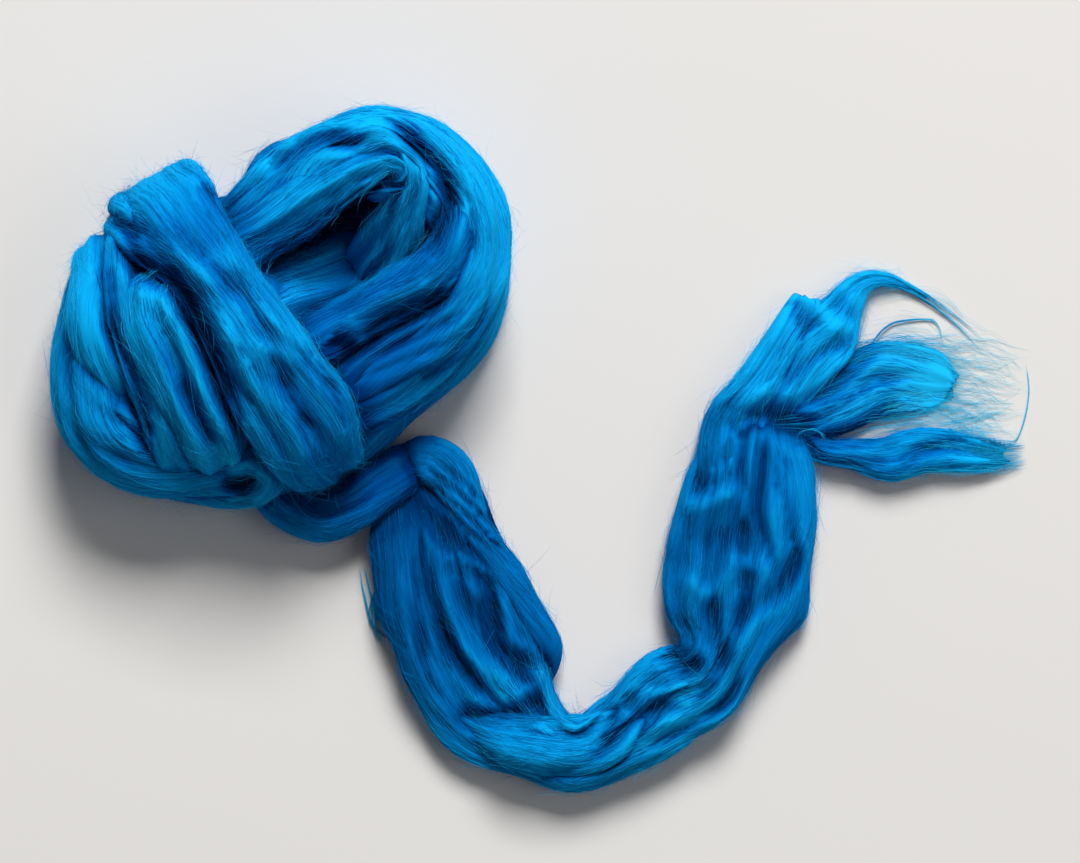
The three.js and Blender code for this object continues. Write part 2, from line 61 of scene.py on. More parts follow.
# The ball's turns, as in the solids. Columns of rows: x, y, z, width, thick.
# core: the point that a turn faces away from, or else it faces up. closed: the turn is a ring.
# pleats, depth: soft pleats across the face, and their height as a share of thick.
# drift: half waves that the pleats shift by from end to end.
# blend: lengths over which the two ends sink in, and narrow: share of the width lost there.
# ragged: how far the far end is drawn back unevenly. calm: lengths over which relief fades at the ends.
# fold: height of the folds along it. shade: distance along it, and tone gained there, painted light above 0
# and painted shade below 0.
# cover: share of the usual number of laid fibres.
TURNS = {
    "ring_low": dict(core=(-85, 40, 12), closed=True, pleats=2, depth=0.04, drift=2, cover=0.6, rows=[
        (-64, 3, 12, 24, 24), (-43.5, 20.5, 12, 24, 24), (-27, 36, 12, 25, 24), (-22, 57, 12, 25, 24),
        (-29, 76, 12, 25, 24), (-47, 87, 12, 25, 24), (-67, 80, 12, 25, 24), (-88, 64, 12, 25, 24),
        (-110, 60, 12, 25, 24), (-125, 48, 12, 25, 24), (-131, 27, 12, 25, 24), (-128, 9, 12, 25, 24),
        (-112, -2, 12, 25, 24), (-90, -4, 12, 24, 24)]),
    "left_bulge": dict(core=(-105, 32, 14), pleats=3, depth=0.05, fold=1.2, shade=[(0, -0.05)], rows=[
        (-113, 62, 22, 18, 16), (-127, 52, 26, 22, 18), (-130, 38, 28, 26, 20), (-131, 21, 29, 29, 22),
        (-126.5, 5.5, 28, 29, 22), (-113, -3, 25, 26, 19), (-95, -2, 21, 22, 17), (-77, 0, 20, 16, 15)]),
    "ring_side": dict(
        core=(-52, 55, 16), pleats=3, depth=0.05, calm=(12, 70),
        shade=[(0, 0), (43, 0.15), (83, 0.2), (123, 0.12), (153, -0.17), (173, -0.36), (223, -0.4)], rows=[
        (-102, 56, 24, 16, 12), (-90, 62.5, 24, 18, 14), (-78, 74.5, 27, 19, 16), (-64, 84.5, 30, 22, 18),
        (-47, 90, 32, 24, 20), (-32, 81, 32, 25, 20), (-22, 67, 31, 26, 20), (-21.2, 50, 30, 26, 20),
        (-29, 34, 28, 26, 20), (-43, 21, 26, 24, 20), (-62, 11, 24, 22, 18)]),
    "rim": dict(
        core=(-50, 56, 10), pleats=2, depth=0.06, calm=(7, 60), blend=(14, 7),
        shade=[(0, 0.2), (44, 0.26), (70, 0.12), (90, -0.16), (105, -0.36), (130, -0.4)], rows=[
        (-60, 91, 33, 9, 7), (-46, 95, 38, 12, 9), (-37, 91.5, 41, 17, 12), (-26, 82, 42, 19, 13),
        (-19, 71, 42, 19, 13), (-17.7, 58, 41, 19, 13), (-21, 44, 40, 18, 13), (-30, 32, 37, 18, 13),
        (-44, 23, 33, 18, 13), (-58, 14, 29, 17, 12)]),
    "top_sheet": dict(core=(-62, 62, 8), pleats=2, depth=0.08, shade=[(0, 0), (39, 0.12), (64, 0.22)], rows=[
        (-103, 54, 28, 14, 11), (-92, 62, 32, 16, 12), (-81.5, 72, 37, 17, 13), (-70, 82.5, 41, 18, 13),
        (-57, 89, 44, 17, 13), (-47, 92, 46, 14, 12), (-39, 88.5, 45, 11, 10), (-33, 82, 42, 10, 8),
        (-31, 73, 35, 10, 8)]),
    "hook": dict(core=(-64, 60, 0), pleats=2, depth=0.08, rows=[
        (-98, 55, 36, 18, 13), (-86, 61, 40, 19, 13), (-74, 69, 43, 19, 13), (-62, 77, 45, 17, 12),
        (-52, 82.5, 47, 13, 11), (-45, 85, 47, 9, 9), (-40.5, 83, 46, 7, 7), (-41, 79, 44, 7, 7),
        (-45, 77, 42, 7, 7), (-51, 75.5, 38, 7, 7)]),
    "pocket_lobe": dict(
        core=(-62, 62, 8), shade=[(0, -0.1), (14, -0.2), (26, -0.2), (38, 0)], fold=1.4, rows=[
        (-92, 66, 20, 9, 8), (-84.5, 77.5, 24, 10, 9), (-78.5, 85, 29, 11, 10), (-71, 86, 34, 11, 9),
        (-63, 83, 36, 9, 8), (-55, 79, 36, 8, 7)]),
    "shoulder_fold": dict(
        core=(-85, 35, 14), pleats=1, depth=0.06, blend=(12, 16), shade=[(0, 0.1), (25, 0.06)], rows=[
        (-120, 69, 7, 9, 5), (-122.5, 72, 20, 11, 8), (-121.5, 72, 31, 12, 9), (-118.5, 70, 39.5, 11, 8),
        (-114.5, 65.5, 47, 9, 6), (-109, 60, 53, 7, 5)]),
    "inner_fan": dict(pleats=3, depth=0.12, shade=[(0, 0.5)], rows=[
        (-46, 94, 44, 8, 6), (-41, 88, 45, 10, 7), (-38.5, 79, 43, 13, 8), (-40.5, 70, 38, 15, 8),
        (-44.5, 61, 29, 19, 8), (-49, 53, 19, 22, 8), (-53, 45, 8, 22, 8)]),
    "inner_ridge": dict(pleats=1, depth=0.05, shade=[(0, 0), (20, -0.15), (35, -0.3)], rows=[
        (-28, 83, 35, 8, 8), (-23, 74, 41, 13, 12), (-24, 62, 44, 15, 14), (-31, 52, 43, 15, 14),
        (-42, 45, 41, 15, 14), (-54, 38, 39, 15, 13), (-66, 31, 37, 15, 13), (-76, 25, 35, 13, 12)]),
    "lower_band": dict(
        core=(-52, 55, 0), pleats=2, depth=0.05, fold=1, shade=[(0, 0), (20, -0.17), (35, -0.38)], rows=[
        (-26, 60, 37, 12, 9), (-22.5, 47, 37, 16, 13), (-29, 36, 36, 18, 13), (-42, 27, 34, 18, 13),
        (-55, 19, 31, 18, 13), (-66, 10, 28, 17, 12)]),
    "hollow_floor": dict(pleats=2, depth=0.06, shade=[(0, 0.05)], rows=[
        (-90, 36, 36, 19, 13), (-79, 43, 31, 22, 13), (-68, 47, 25, 24, 13), (-57, 51, 16, 24, 13),
        (-46, 55, 9, 22, 13)]),
    "far_strap": dict(
        core=(-115, 28, 18), pleats=2, depth=0.03, drift=0.5, fold=0.9,
        shade=[(0, 0.12), (15, 0.19), (60, 0.14), (75, 0)], rows=[
        (-125, 54.5, 8, 11, 9), (-130.5, 58, 25, 15, 12), (-130.5, 49, 37, 18, 13), (-130.5, 39, 41, 19, 13),
        (-128, 29, 41, 18, 13), (-123.5, 20, 38, 16, 13), (-117, 12, 33, 15, 12), (-110, 4, 26, 14, 12)]),
    "slim_strap": dict(core=(-105, 30, 18), pleats=1, depth=0.06, blend=(7, 0), rows=[
        (-121, 63, 22, 10, 10), (-123, 59, 36, 10, 11), (-123, 49, 45, 10, 12), (-121, 39, 48, 11, 12),
        (-117.5, 28, 48, 12, 12), (-113, 15, 45, 12, 12), (-109, 3, 38, 12, 12), (-106.5, -4, 28, 12, 10),
        (-105.5, -5, 18, 11, 7), (-105, -2, 9, 10, 6), (-104, 2, 4, 9, 5)]),
    "arch_strap": dict(
        core=(-98, 28, 18), pleats=2, depth=0.08, blend=(7, 0), fold=1.1, shade=[(0, 0.14)], rows=[
        (-96, 46, 38, 12, 10), (-105, 49, 46, 14, 12), (-113, 46, 51, 17, 13), (-113, 37, 54, 19, 13),
        (-108, 27, 53, 20, 13), (-102.5, 15, 49, 20, 13), (-97, 3, 40, 20, 13), (-95, -1.5, 30, 17, 11),
        (-94, -3.5, 20, 14, 9), (-93, -3, 10, 12, 7), (-92, 0, 4, 10, 5)]),
    "main_strap": dict(
        core=(-85, 35, 14), pleats=2, depth=0.04, drift=0.7, blend=(0, 0), fold=1.6,
        shade=[(0, 0.24), (26, 0.28), (42, -0.1), (56, -0.3), (66, -0.26), (75, -0.14), (110, -0.12)], rows=[
        (-109, 63.5, 5, 27, 9), (-115, 73.5, 24, 35, 13), (-110, 68.5, 43, 32, 14), (-101, 58.5, 54, 27, 14),
        (-94, 47, 58, 25, 14), (-86, 35, 58, 26, 14), (-78, 22, 54, 29, 14), (-70, 9, 46, 31, 14),
        (-66, 0, 36, 29, 14), (-63, -4, 21, 24, 13), (-62.5, -3, 7, 20, 12)]),
    "bottom_fold": dict(
        core=(-88, 14, 8), pleats=1, depth=0.06, blend=(12, 7), fold=1.2,
        shade=[(0, 0.02), (14, 0.12), (40, 0.2)], rows=[
        (-100, -3, 26, 9, 7), (-92, -3.5, 31, 10, 8), (-85.5, -2.5, 33.5, 10, 9), (-80, -5, 31, 10, 9),
        (-80, -10, 25, 10, 9), (-85, -13.4, 19, 9, 9), (-94, -14, 16, 9, 9), (-103, -11.5, 15, 8, 8),
        (-111, -5.5, 13, 6, 6), (-117, 1, 11, 5, 5)]),
    "cross_band": dict(
        pleats=2, depth=0.08, blend=(7, 14), narrow=0.3,
        shade=[(0, -0.22), (26, -0.24), (36, -0.42), (48, -0.5), (64, -0.5)], rows=[
        (-84, -4, 8, 14, 14), (-76, -15, 8, 15, 14), (-66, -20, 8.5, 15, 14), (-56, -17, 11, 15, 12),
        (-47, -10.5, 11, 16, 10), (-39, -5, 9.5, 16, 9), (-32, -2.5, 6, 13, 7)]),
}
LEFT_LOBE = (
    "left_bulge", "shoulder_fold", "far_strap", "slim_strap", "arch_strap", "main_strap", "bottom_fold",
    "cross_band")
# x, y, z and the three radii
PADDING = [(-104, 32, 22, 36, 38, 28), (-56, 56, 4, 36, 34, 8), (-88, 30, 43, 14, 14, 11)]

TAIL = dict(
    pleats=4, depth=0.05, drift=2, calm=(12, 34),
    shade=[
        (0, -0.56), (16, -0.58), (45, -0.54), (66, -0.34), (78, -0.1), (100, -0.03), (150, -0.02),
        (165, -0.26), (200, -0.27), (215, -0.28), (232, -0.26), (242, -0.36)], rows=[
    (-41, 0, 3.2, 12, 6), (-37, -5, 4, 22, 8), (-33.5, -15, 5.2, 32, 11), (-31, -30, 7, 40, 15),
    (-26.3, -46.5, 7.5, 44, 16), (-20.3, -61, 7.5, 47, 16), (-14, -75, 6.5, 42, 14),
    (-1.5, -86.5, 6.5, 26, 14), (11.5, -91.5, 7.5, 22.5, 16), (25.4, -84, 7.5, 24.6, 16),
    (37.2, -74.5, 7.5, 29, 16), (48.6, -69.5, 7.5, 26, 16), (54.2, -60.5, 8, 26, 17), (57, -48, 7.5, 41, 16),
    (59.7, -34, 7.5, 44.5, 16), (61.7, -20, 7.5, 42.5, 16), (63.2, -8, 6.7, 37.5, 15),
    (63.2, 2, 5.4, 32, 12), (63.4, 9, 4.2, 29, 9), (63.6, 13, 3.6, 24, 7), (64.5, 17, 3, 15, 5)])
TAIL_FOLDS = {
    "under_bend": dict(pleats=1, depth=0.08, blend=(26, 30), narrow=0.6, fold=1, shade=[(0, -0.06)], rows=[
        (-31, -73, 8, 11, 8), (-22, -81, 8.6, 14, 11), (-10, -86.5, 9, 17, 15), (3, -89.5, 9, 19, 16.5),
        (14, -89, 8.8, 18, 16.2), (22.5, -84.5, 8.8, 16, 16), (29.5, -78.5, 8.8, 14, 15.4),
        (37, -74, 8.4, 12, 14), (45, -70.5, 7.6, 10, 12)]),
    "shoulder_rim": dict(blend=(16, 18), fold=1.6, shade=[(0, -0.15), (25, -0.36), (80, -0.4)], rows=[
        (-34, -10, 7, 6, 5), (-26.5, -17, 9, 8, 7), (-18, -26, 10.5, 9, 8), (-10.5, -37, 10.5, 9.5, 8),
        (-4.3, -48, 10, 10, 8), (1.6, -57, 9, 9, 8), (2.8, -65, 7.5, 8, 7), (0.5, -73, 6, 6, 6)]),
    "facet": dict(blend=(6, 14), fold=0.7, shade=[(0, -0.2)], rows=[
        (-42, -7, 9, 12, 6), (-34.5, -3.4, 11.2, 14, 8), (-27.6, -6.8, 10.8, 14.5, 8),
        (-23, -15, 10.2, 12.5, 7.6), (-18.7, -23, 9.2, 8, 6.4), (-16, -31, 8, 5, 4.4)]),
}
# Creases (below zero) and ridges of the upper side, seen from above. Columns: height, half width, points.
PINCH = [(57, 8), (62, 10), (68, 10.5), (73, 8), (78, 5.5), (83, 3.5)]
BEND = [(28.4, -79.5), (35, -76.7), (44, -77.6), (50.4, -72), (53, -68)]
BALL_CREASES = [
    (-7, 2.2, [(-126.5, 68), (-123.5, 66), (-120, 64), (-117, 60)]),
    (-10, 3, [(-119, 67), (-118, 58), (-115, 54), (-108, 50), (-103, 45), (-99, 37), (-96, 29), (-92, 20),
        (-86, 7)]),
    (-6, 1.8, [(-105, 22), (-102, 14), (-98, 6), (-95, 1)]),
    (-6.5, 2.3, [(-127, 62), (-126, 52), (-125, 44), (-124, 33), (-119, 22), (-117, 15), (-115, 5),
        (-114, -5)]),
    (-1.6, 1.8, [(-139, 24), (-134, 15), (-127, 10), (-120, 8)]),
    (-1.8, 1.6, [(-143, 14), (-138, 6), (-128, 0), (-116, -4)]),
    (-1.6, 2, [(-131, 51), (-130, 44), (-129, 37), (-126, 31)]),
    (-3.2, 1.8, [(-80, 31), (-78, 26), (-75, 20), (-71, 12), (-65, 4), (-61, -5)]),
    (-2.6, 2.2, [(-98, 49), (-94, 42), (-90, 34), (-85, 25)]),
    (2.4, 2.4, [(-92, 61), (-84, 47), (-77, 37), (-66, 28)]),
    (-2.2, 1.6, [(-86, 18), (-81, 9), (-76, 1), (-72, -6)]),
    (1.8, 5, [(-112, 56), (-104, 53), (-96, 53), (-88, 56), (-84, 58)]),
    (-1.8, 4.5, [(-104, 47), (-98, 45), (-91, 46), (-84, 49)]),
    (2, 4, [(-98, 35), (-91, 32), (-84, 30), (-76, 28), (-68, 27)]),
    (-2, 3.5, [(-86, 25), (-81, 22), (-76, 20), (-71, 21)]),
    (-3.4, 1.6, [(-71.2, 10.3), (-68, 2), (-64.6, -6.9)]),
    (-4, 2, [(-63, 22), (-59, 13), (-57, 5)]),
    (-5, 2.4, [(-83, 89), (-79, 87), (-75, 83)]),
    (-2, 1.5, [(-117, 70), (-114, 60), (-107, 53), (-100, 45)]),
    (-2.4, 1.4, [(-108, 70), (-104, 63), (-96, 54), (-88, 43)]),
    (-3, 1.6, [(-90, 22), (-86, 16), (-83, 14)]),
    (-2.6, 1.4, [(-112, 45), (-108, 45), (-104, 42)]),
    (-2, 1.2, [(-112, 41), (-108, 41), (-104, 38)]),
    (-2.4, 1.1, [(-114, 48.5), (-109.5, 48), (-105, 45)]),
    (-2, 1, [(-112.5, 38.5), (-108.5, 38), (-105, 35)]),
    (-1.8, 1, [(-111, 35), (-108, 34.5), (-104.5, 32)]),
    (-9, 2.2, [(-94, -10), (-90.5, -9.6), (-86.5, -8.8), (-83, -8)]),
    (-10, 2.4, [(-44, 97), (-40, 93), (-35, 88), (-30, 83), (-27, 77), (-26, 72), (-29, 64), (-32, 56)]),
    (-7, 4, [(-47, 77.5), (-55, 73.5), (-63, 68.5), (-71, 63), (-78, 57.5), (-84, 52)]),
    (-7, 2.2, [(-53, 33), (-46, 38), (-38, 41), (-31, 44), (-27, 48)]),
    (-1.8, 1.6, [(-50, 27), (-37, 33), (-23, 40), (-16, 48), (-13, 59)]),
    (-1.6, 1.6, [(-54, 20), (-40, 26), (-26, 32), (-16, 42)]),
    (-1.8, 1.8, [(-36, 20), (-27, 27), (-20, 35), (-14, 46)]),
    (-2.6, 1.4, [(-33, 94), (-25, 85), (-21, 74), (-20, 62), (-23, 50)]),
    (-5, 2, [(-78, 76), (-72, 84), (-65, 89), (-55, 90), (-48, 89)]),
    (-2.4, 1.4, [(-88, 60), (-77, 65), (-66, 72), (-57, 77)]),
    (-4, 1.8, [(-56, 78), (-50, 80), (-45, 82)]),
    (-3, 1.5, [(-62, 97), (-52, 99), (-44, 98)]),
    (-7, 3, [(-62, 33), (-58, 30), (-54, 28)]),
    (-5, 2, [(-100, 77.5), (-97, 75.5), (-94, 73)]),
    (-3, 1.2, [(-44, 86), (-43, 76), (-45, 66), (-49, 57)]),
    (-3, 1.2, [(-40, 84), (-38, 74), (-39, 64), (-43, 55)]),
]
TAIL_CREASES = [
    (2.6, 1.7, [(-34, -8), (-27, -15), (-17, -22.5), (-11, -28), (-5.6, -34.5)]),
    (-4, 1.5, [(-32, -6), (-24, -13), (-16, -20), (-11, -26)]),
    (2.4, 1.6, [(-36, -12), (-30, -18), (-25, -21.6), (-16.6, -27), (-7.4, -33)]),
    (-6, 2, [(-35, -15), (-32, -21.6), (-26.7, -28), (-17.5, -30), (-9, -34.5), (-4.7, -40)]),
    (2.6, 2.2, [(-28.5, -26), (-24, -32.6), (-15.7, -39), (-12, -44.6), (-11, -52), (-8.3, -57.4),
        (-2.8, -61)]),
    (-6.5, 2.2, [(-26.7, -31.7), (-18.4, -37), (-14.5, -42), (-14, -50), (-12, -59), (-5, -64), (1, -66.6)]),
    (-4, 1.8, [(-18.4, -43), (-17, -54), (-11, -63.8), (-2, -70.3)]),
    (2.6, 2.2, [(-29.5, -35), (-27.6, -46), (-25, -55.6), (-18.4, -65), (-11, -74), (-8.3, -78)]),
    (-5, 2, [(-33, -30), (-32, -43), (-28.5, -54), (-24, -63), (-16.6, -72), (-12, -78)]),
    (-2.4, 2, [(-37.7, -30), (-36.5, -43), (-35, -56), (-33, -69), (-25, -78)]),
    (1.2, 2.2, [(-41, -34), (-41, -48), (-39, -62), (-33, -73)]),
    (-6, 2.4, [(-27, -80), (-22, -80.4), (-17.5, -80.4), (-11, -79.5), (-5.6, -78.5), (1.8, -74)]),
    (-3, 1.6, [(-4, -46), (0, -52), (3, -58)]),
    (-3, 1.8, [(-11, -92), (0, -95), (11, -94), (19, -88.6), (25.6, -83), (33, -84)]),
    (-2, 1.6, [(-7.4, -87.7), (2.7, -89.6), (12.8, -86.8), (20, -81), (24, -75)]),
    (2.4, 2.4, [(-8, -83), (3, -84), (12, -82), (18, -76)]),
    (-3.6, 1.8, [(24, -71), (28, -77), (27, -84), (22, -91)]),
    (-3.4, 1.8, BEND),
    (2.6, 2.2, [(29, -70), (37.6, -72), (46, -69.4), (53, -65)]),
    (-6.5, 2.6, [(37, -60), (41, -62.5), (45, -65), (51, -66)]),
    (-4, 1.8, [(31, -88.6), (40, -85), (51.4, -78.5), (57.8, -72), (60.5, -65)]),
    (-6, 2.2, [(55, -66), (53.6, -60), (53, -54.7), (52, -48), (54, -45)]),
    (-5.5, 2.4, [(57, -55), (61.5, -48), (69.7, -42.7), (75, -35.4), (77, -28)]),
    (3.8, 3.2, [(40, -36.5), (44, -39.5), (51, -42.5), (54.6, -38.5), (57, -33), (61, -34.5), (66, -37.5)]),
    (-3.5, 3, [(36, -53), (43, -52), (49, -54)]),
    (-3, 5, [(42, -27), (50, -26.5), (58, -25), (64, -24)]),
    (3.4, 3.2, [(42, -18.5), (47.5, -16.5), (53, -13.5), (58.7, -10)]),
    (-3, 2.2, [(46, -9), (50.5, -12), (55, -9), (58, -4)]),
    (1.8, 2.8, [(46, -1), (50, -5), (55, -6.5), (60, -3)]),
    (-6, 3, PINCH),
    (-3, 1.4, [(67, 4), (66, -8), (65, -18), (68, -30), (72, -40)]),
    (-2.6, 1.4, [(74, 2), (73, -10), (74, -22), (77, -32)]),
    (-2.4, 1.4, [(57, 4), (55, -5), (56, -14)]),
    (-3.4, 1.6, [(61, -20), (60, -30), (63, -42)]),
    (-3, 1.2, [(62, 9), (61, 2), (60, -6), (61, -13)]),
    (-3, 1.2, [(70, 9), (71, 2), (70, -7), (71, -15)]),
    (-3, 1.2, [(52, 8), (50, 1), (48, -7), (47, -14)]),
]
FOLD_CREASES = [
    (-4.5, 2.2, [(-2, -96), (7.3, -96), (14.7, -93), (20.2, -87.7), (24.8, -80.3), (28.4, -73)]),
    (-3.4, 1.8, BEND),
    (-2.6, 0.9, [(-34, -6), (-27, -11), (-20, -17), (-14, -24)]),
    (-2.6, 0.9, [(-35, -9), (-28, -14), (-21, -20), (-15, -27)]),
    (-2.2, 0.8, [(-32, -3), (-25, -8), (-19, -14), (-13, -21)]),
    (-2.2, 0.8, [(-36, -11), (-29, -17), (-22, -23), (-14, -31)]),
]

# The frayed end's thick parts, as in the solids
FRAYED = {
    "head_left": dict(
        pleats=2, depth=0.07, blend=(8, 5), narrow=0.3, ragged=3,
        shade=[(0, -0.44), (14, -0.1), (26, 0.3)], rows=[
        (60, -3, 2, 12, 3), (59.5, 2.5, 2.6, 17, 4), (59, 8.5, 5, 19.5, 9.4), (63.5, 15.2, 6, 17, 12),
        (68.5, 21.5, 6, 16.5, 12), (73, 28.8, 5.6, 15.5, 11.4), (77.4, 38, 4.8, 12.5, 9.6),
        (79.6, 42.5, 4.4, 12, 8.6), (81, 46.6, 3.4, 11, 6)]),
    "head_right": dict(
        pleats=2, depth=0.07, blend=(8, 16), ragged=6, shade=[(0, -0.5), (22, 0.1), (60, 0.25)], rows=[
        (66, -1, 2, 10, 3), (68, 5, 3, 14, 5), (70, 11, 5.2, 15, 10), (74.5, 18.5, 5.9, 17, 12),
        (80, 27, 5.7, 20, 11.6), (86, 34.8, 5.2, 20, 10.6), (90.8, 42.6, 4.2, 12.5, 8.4),
        (95.5, 49, 3, 7.6, 5.6), (101.5, 51, 2, 5, 4), (109, 49.2, 1.4, 3.6, 3), (118, 44.5, 1, 2.4, 2.2)]),
    "middle_sheet": dict(
        pleats=3, depth=0.1, blend=(7, 10), narrow=0.6, ragged=5, fold=1,
        shade=[(0, -0.5), (16, -0.2), (34, -0.06), (42, 0.08), (52, 0.32), (60, 0.55)], rows=[
        (70, 8, 4.6, 16, 9), (79, 11.5, 4.6, 19, 9.4), (90, 15.5, 3.6, 21, 7.4), (102, 21, 2.4, 22, 5),
        (113, 21.3, 1.4, 18.5, 3), (120, 20, 1.1, 17, 2.2), (126, 18.6, 0.8, 13, 1.4)]),
    "lower_lock": dict(
        pleats=1, depth=0.12, blend=(7, 14), narrow=0.35, ragged=8, fold=1.6,
        shade=[(0, -0.18), (40, -0.12), (50, 0.02), (62, 0.24)], rows=[
        (77, 6, 4, 9, 8.2), (85, -0.5, 4, 8.4, 8.2), (93, -1.8, 4, 9, 8.2), (105, -2.8, 4, 14.5, 8.2),
        (115, -0.5, 3.6, 13, 7.2), (126, -1, 2.8, 11.5, 5.6), (135, -2, 1.7, 9, 3.4),
        (142, -2, 1.2, 7, 2.2)]),
}
END_CREASES = [
    (-7, 3.2, PINCH),
    (-3.6, 2.4, [(52, 9), (55, 9.4), (59, 9.6)]),
    (-5, 2.6, [(72, 19), (78, 24), (84, 28.5), (89, 31), (94, 33)]),
    (-7, 3.8, [(75.6, 45), (76.8, 41.5), (78.5, 38), (80.5, 34)]),
    (3, 2.4, [(80, 49), (82.5, 43), (86, 37), (89, 34)]),
    (-4, 2.4, [(84, 47), (88, 44), (92, 41), (95, 38)]),
    (-3.5, 2, [(105, -11), (108, -8), (111, -4), (117, 0), (122, 2), (128, 2)]),
    (-4.5, 3, [(82, 4), (88, 4.4), (96, 6), (102, 10), (109, 14.5)]),
    (0.8, 1.8, [(78, 9), (86, 13), (95, 20), (106, 29)]),
    (0.8, 1.8, [(85, 8), (94, 12), (103, 14.6), (112, 15)]),
    (-2.4, 1.4, [(76, 13), (86, 18), (95, 25), (101, 30)]),
    (-2.4, 1.4, [(82, 10), (92, 15), (102, 20), (112, 22)]),
    (-1.2, 1.4, [(60, 14), (66, 21), (71, 29), (75, 37)]),
    (-2.2, 1.4, [(68, 14), (71, 22), (76, 29), (80, 37)]),
    (-2.4, 1.5, [(86, -3), (94, -4), (101, -5), (106, -6)]),
]
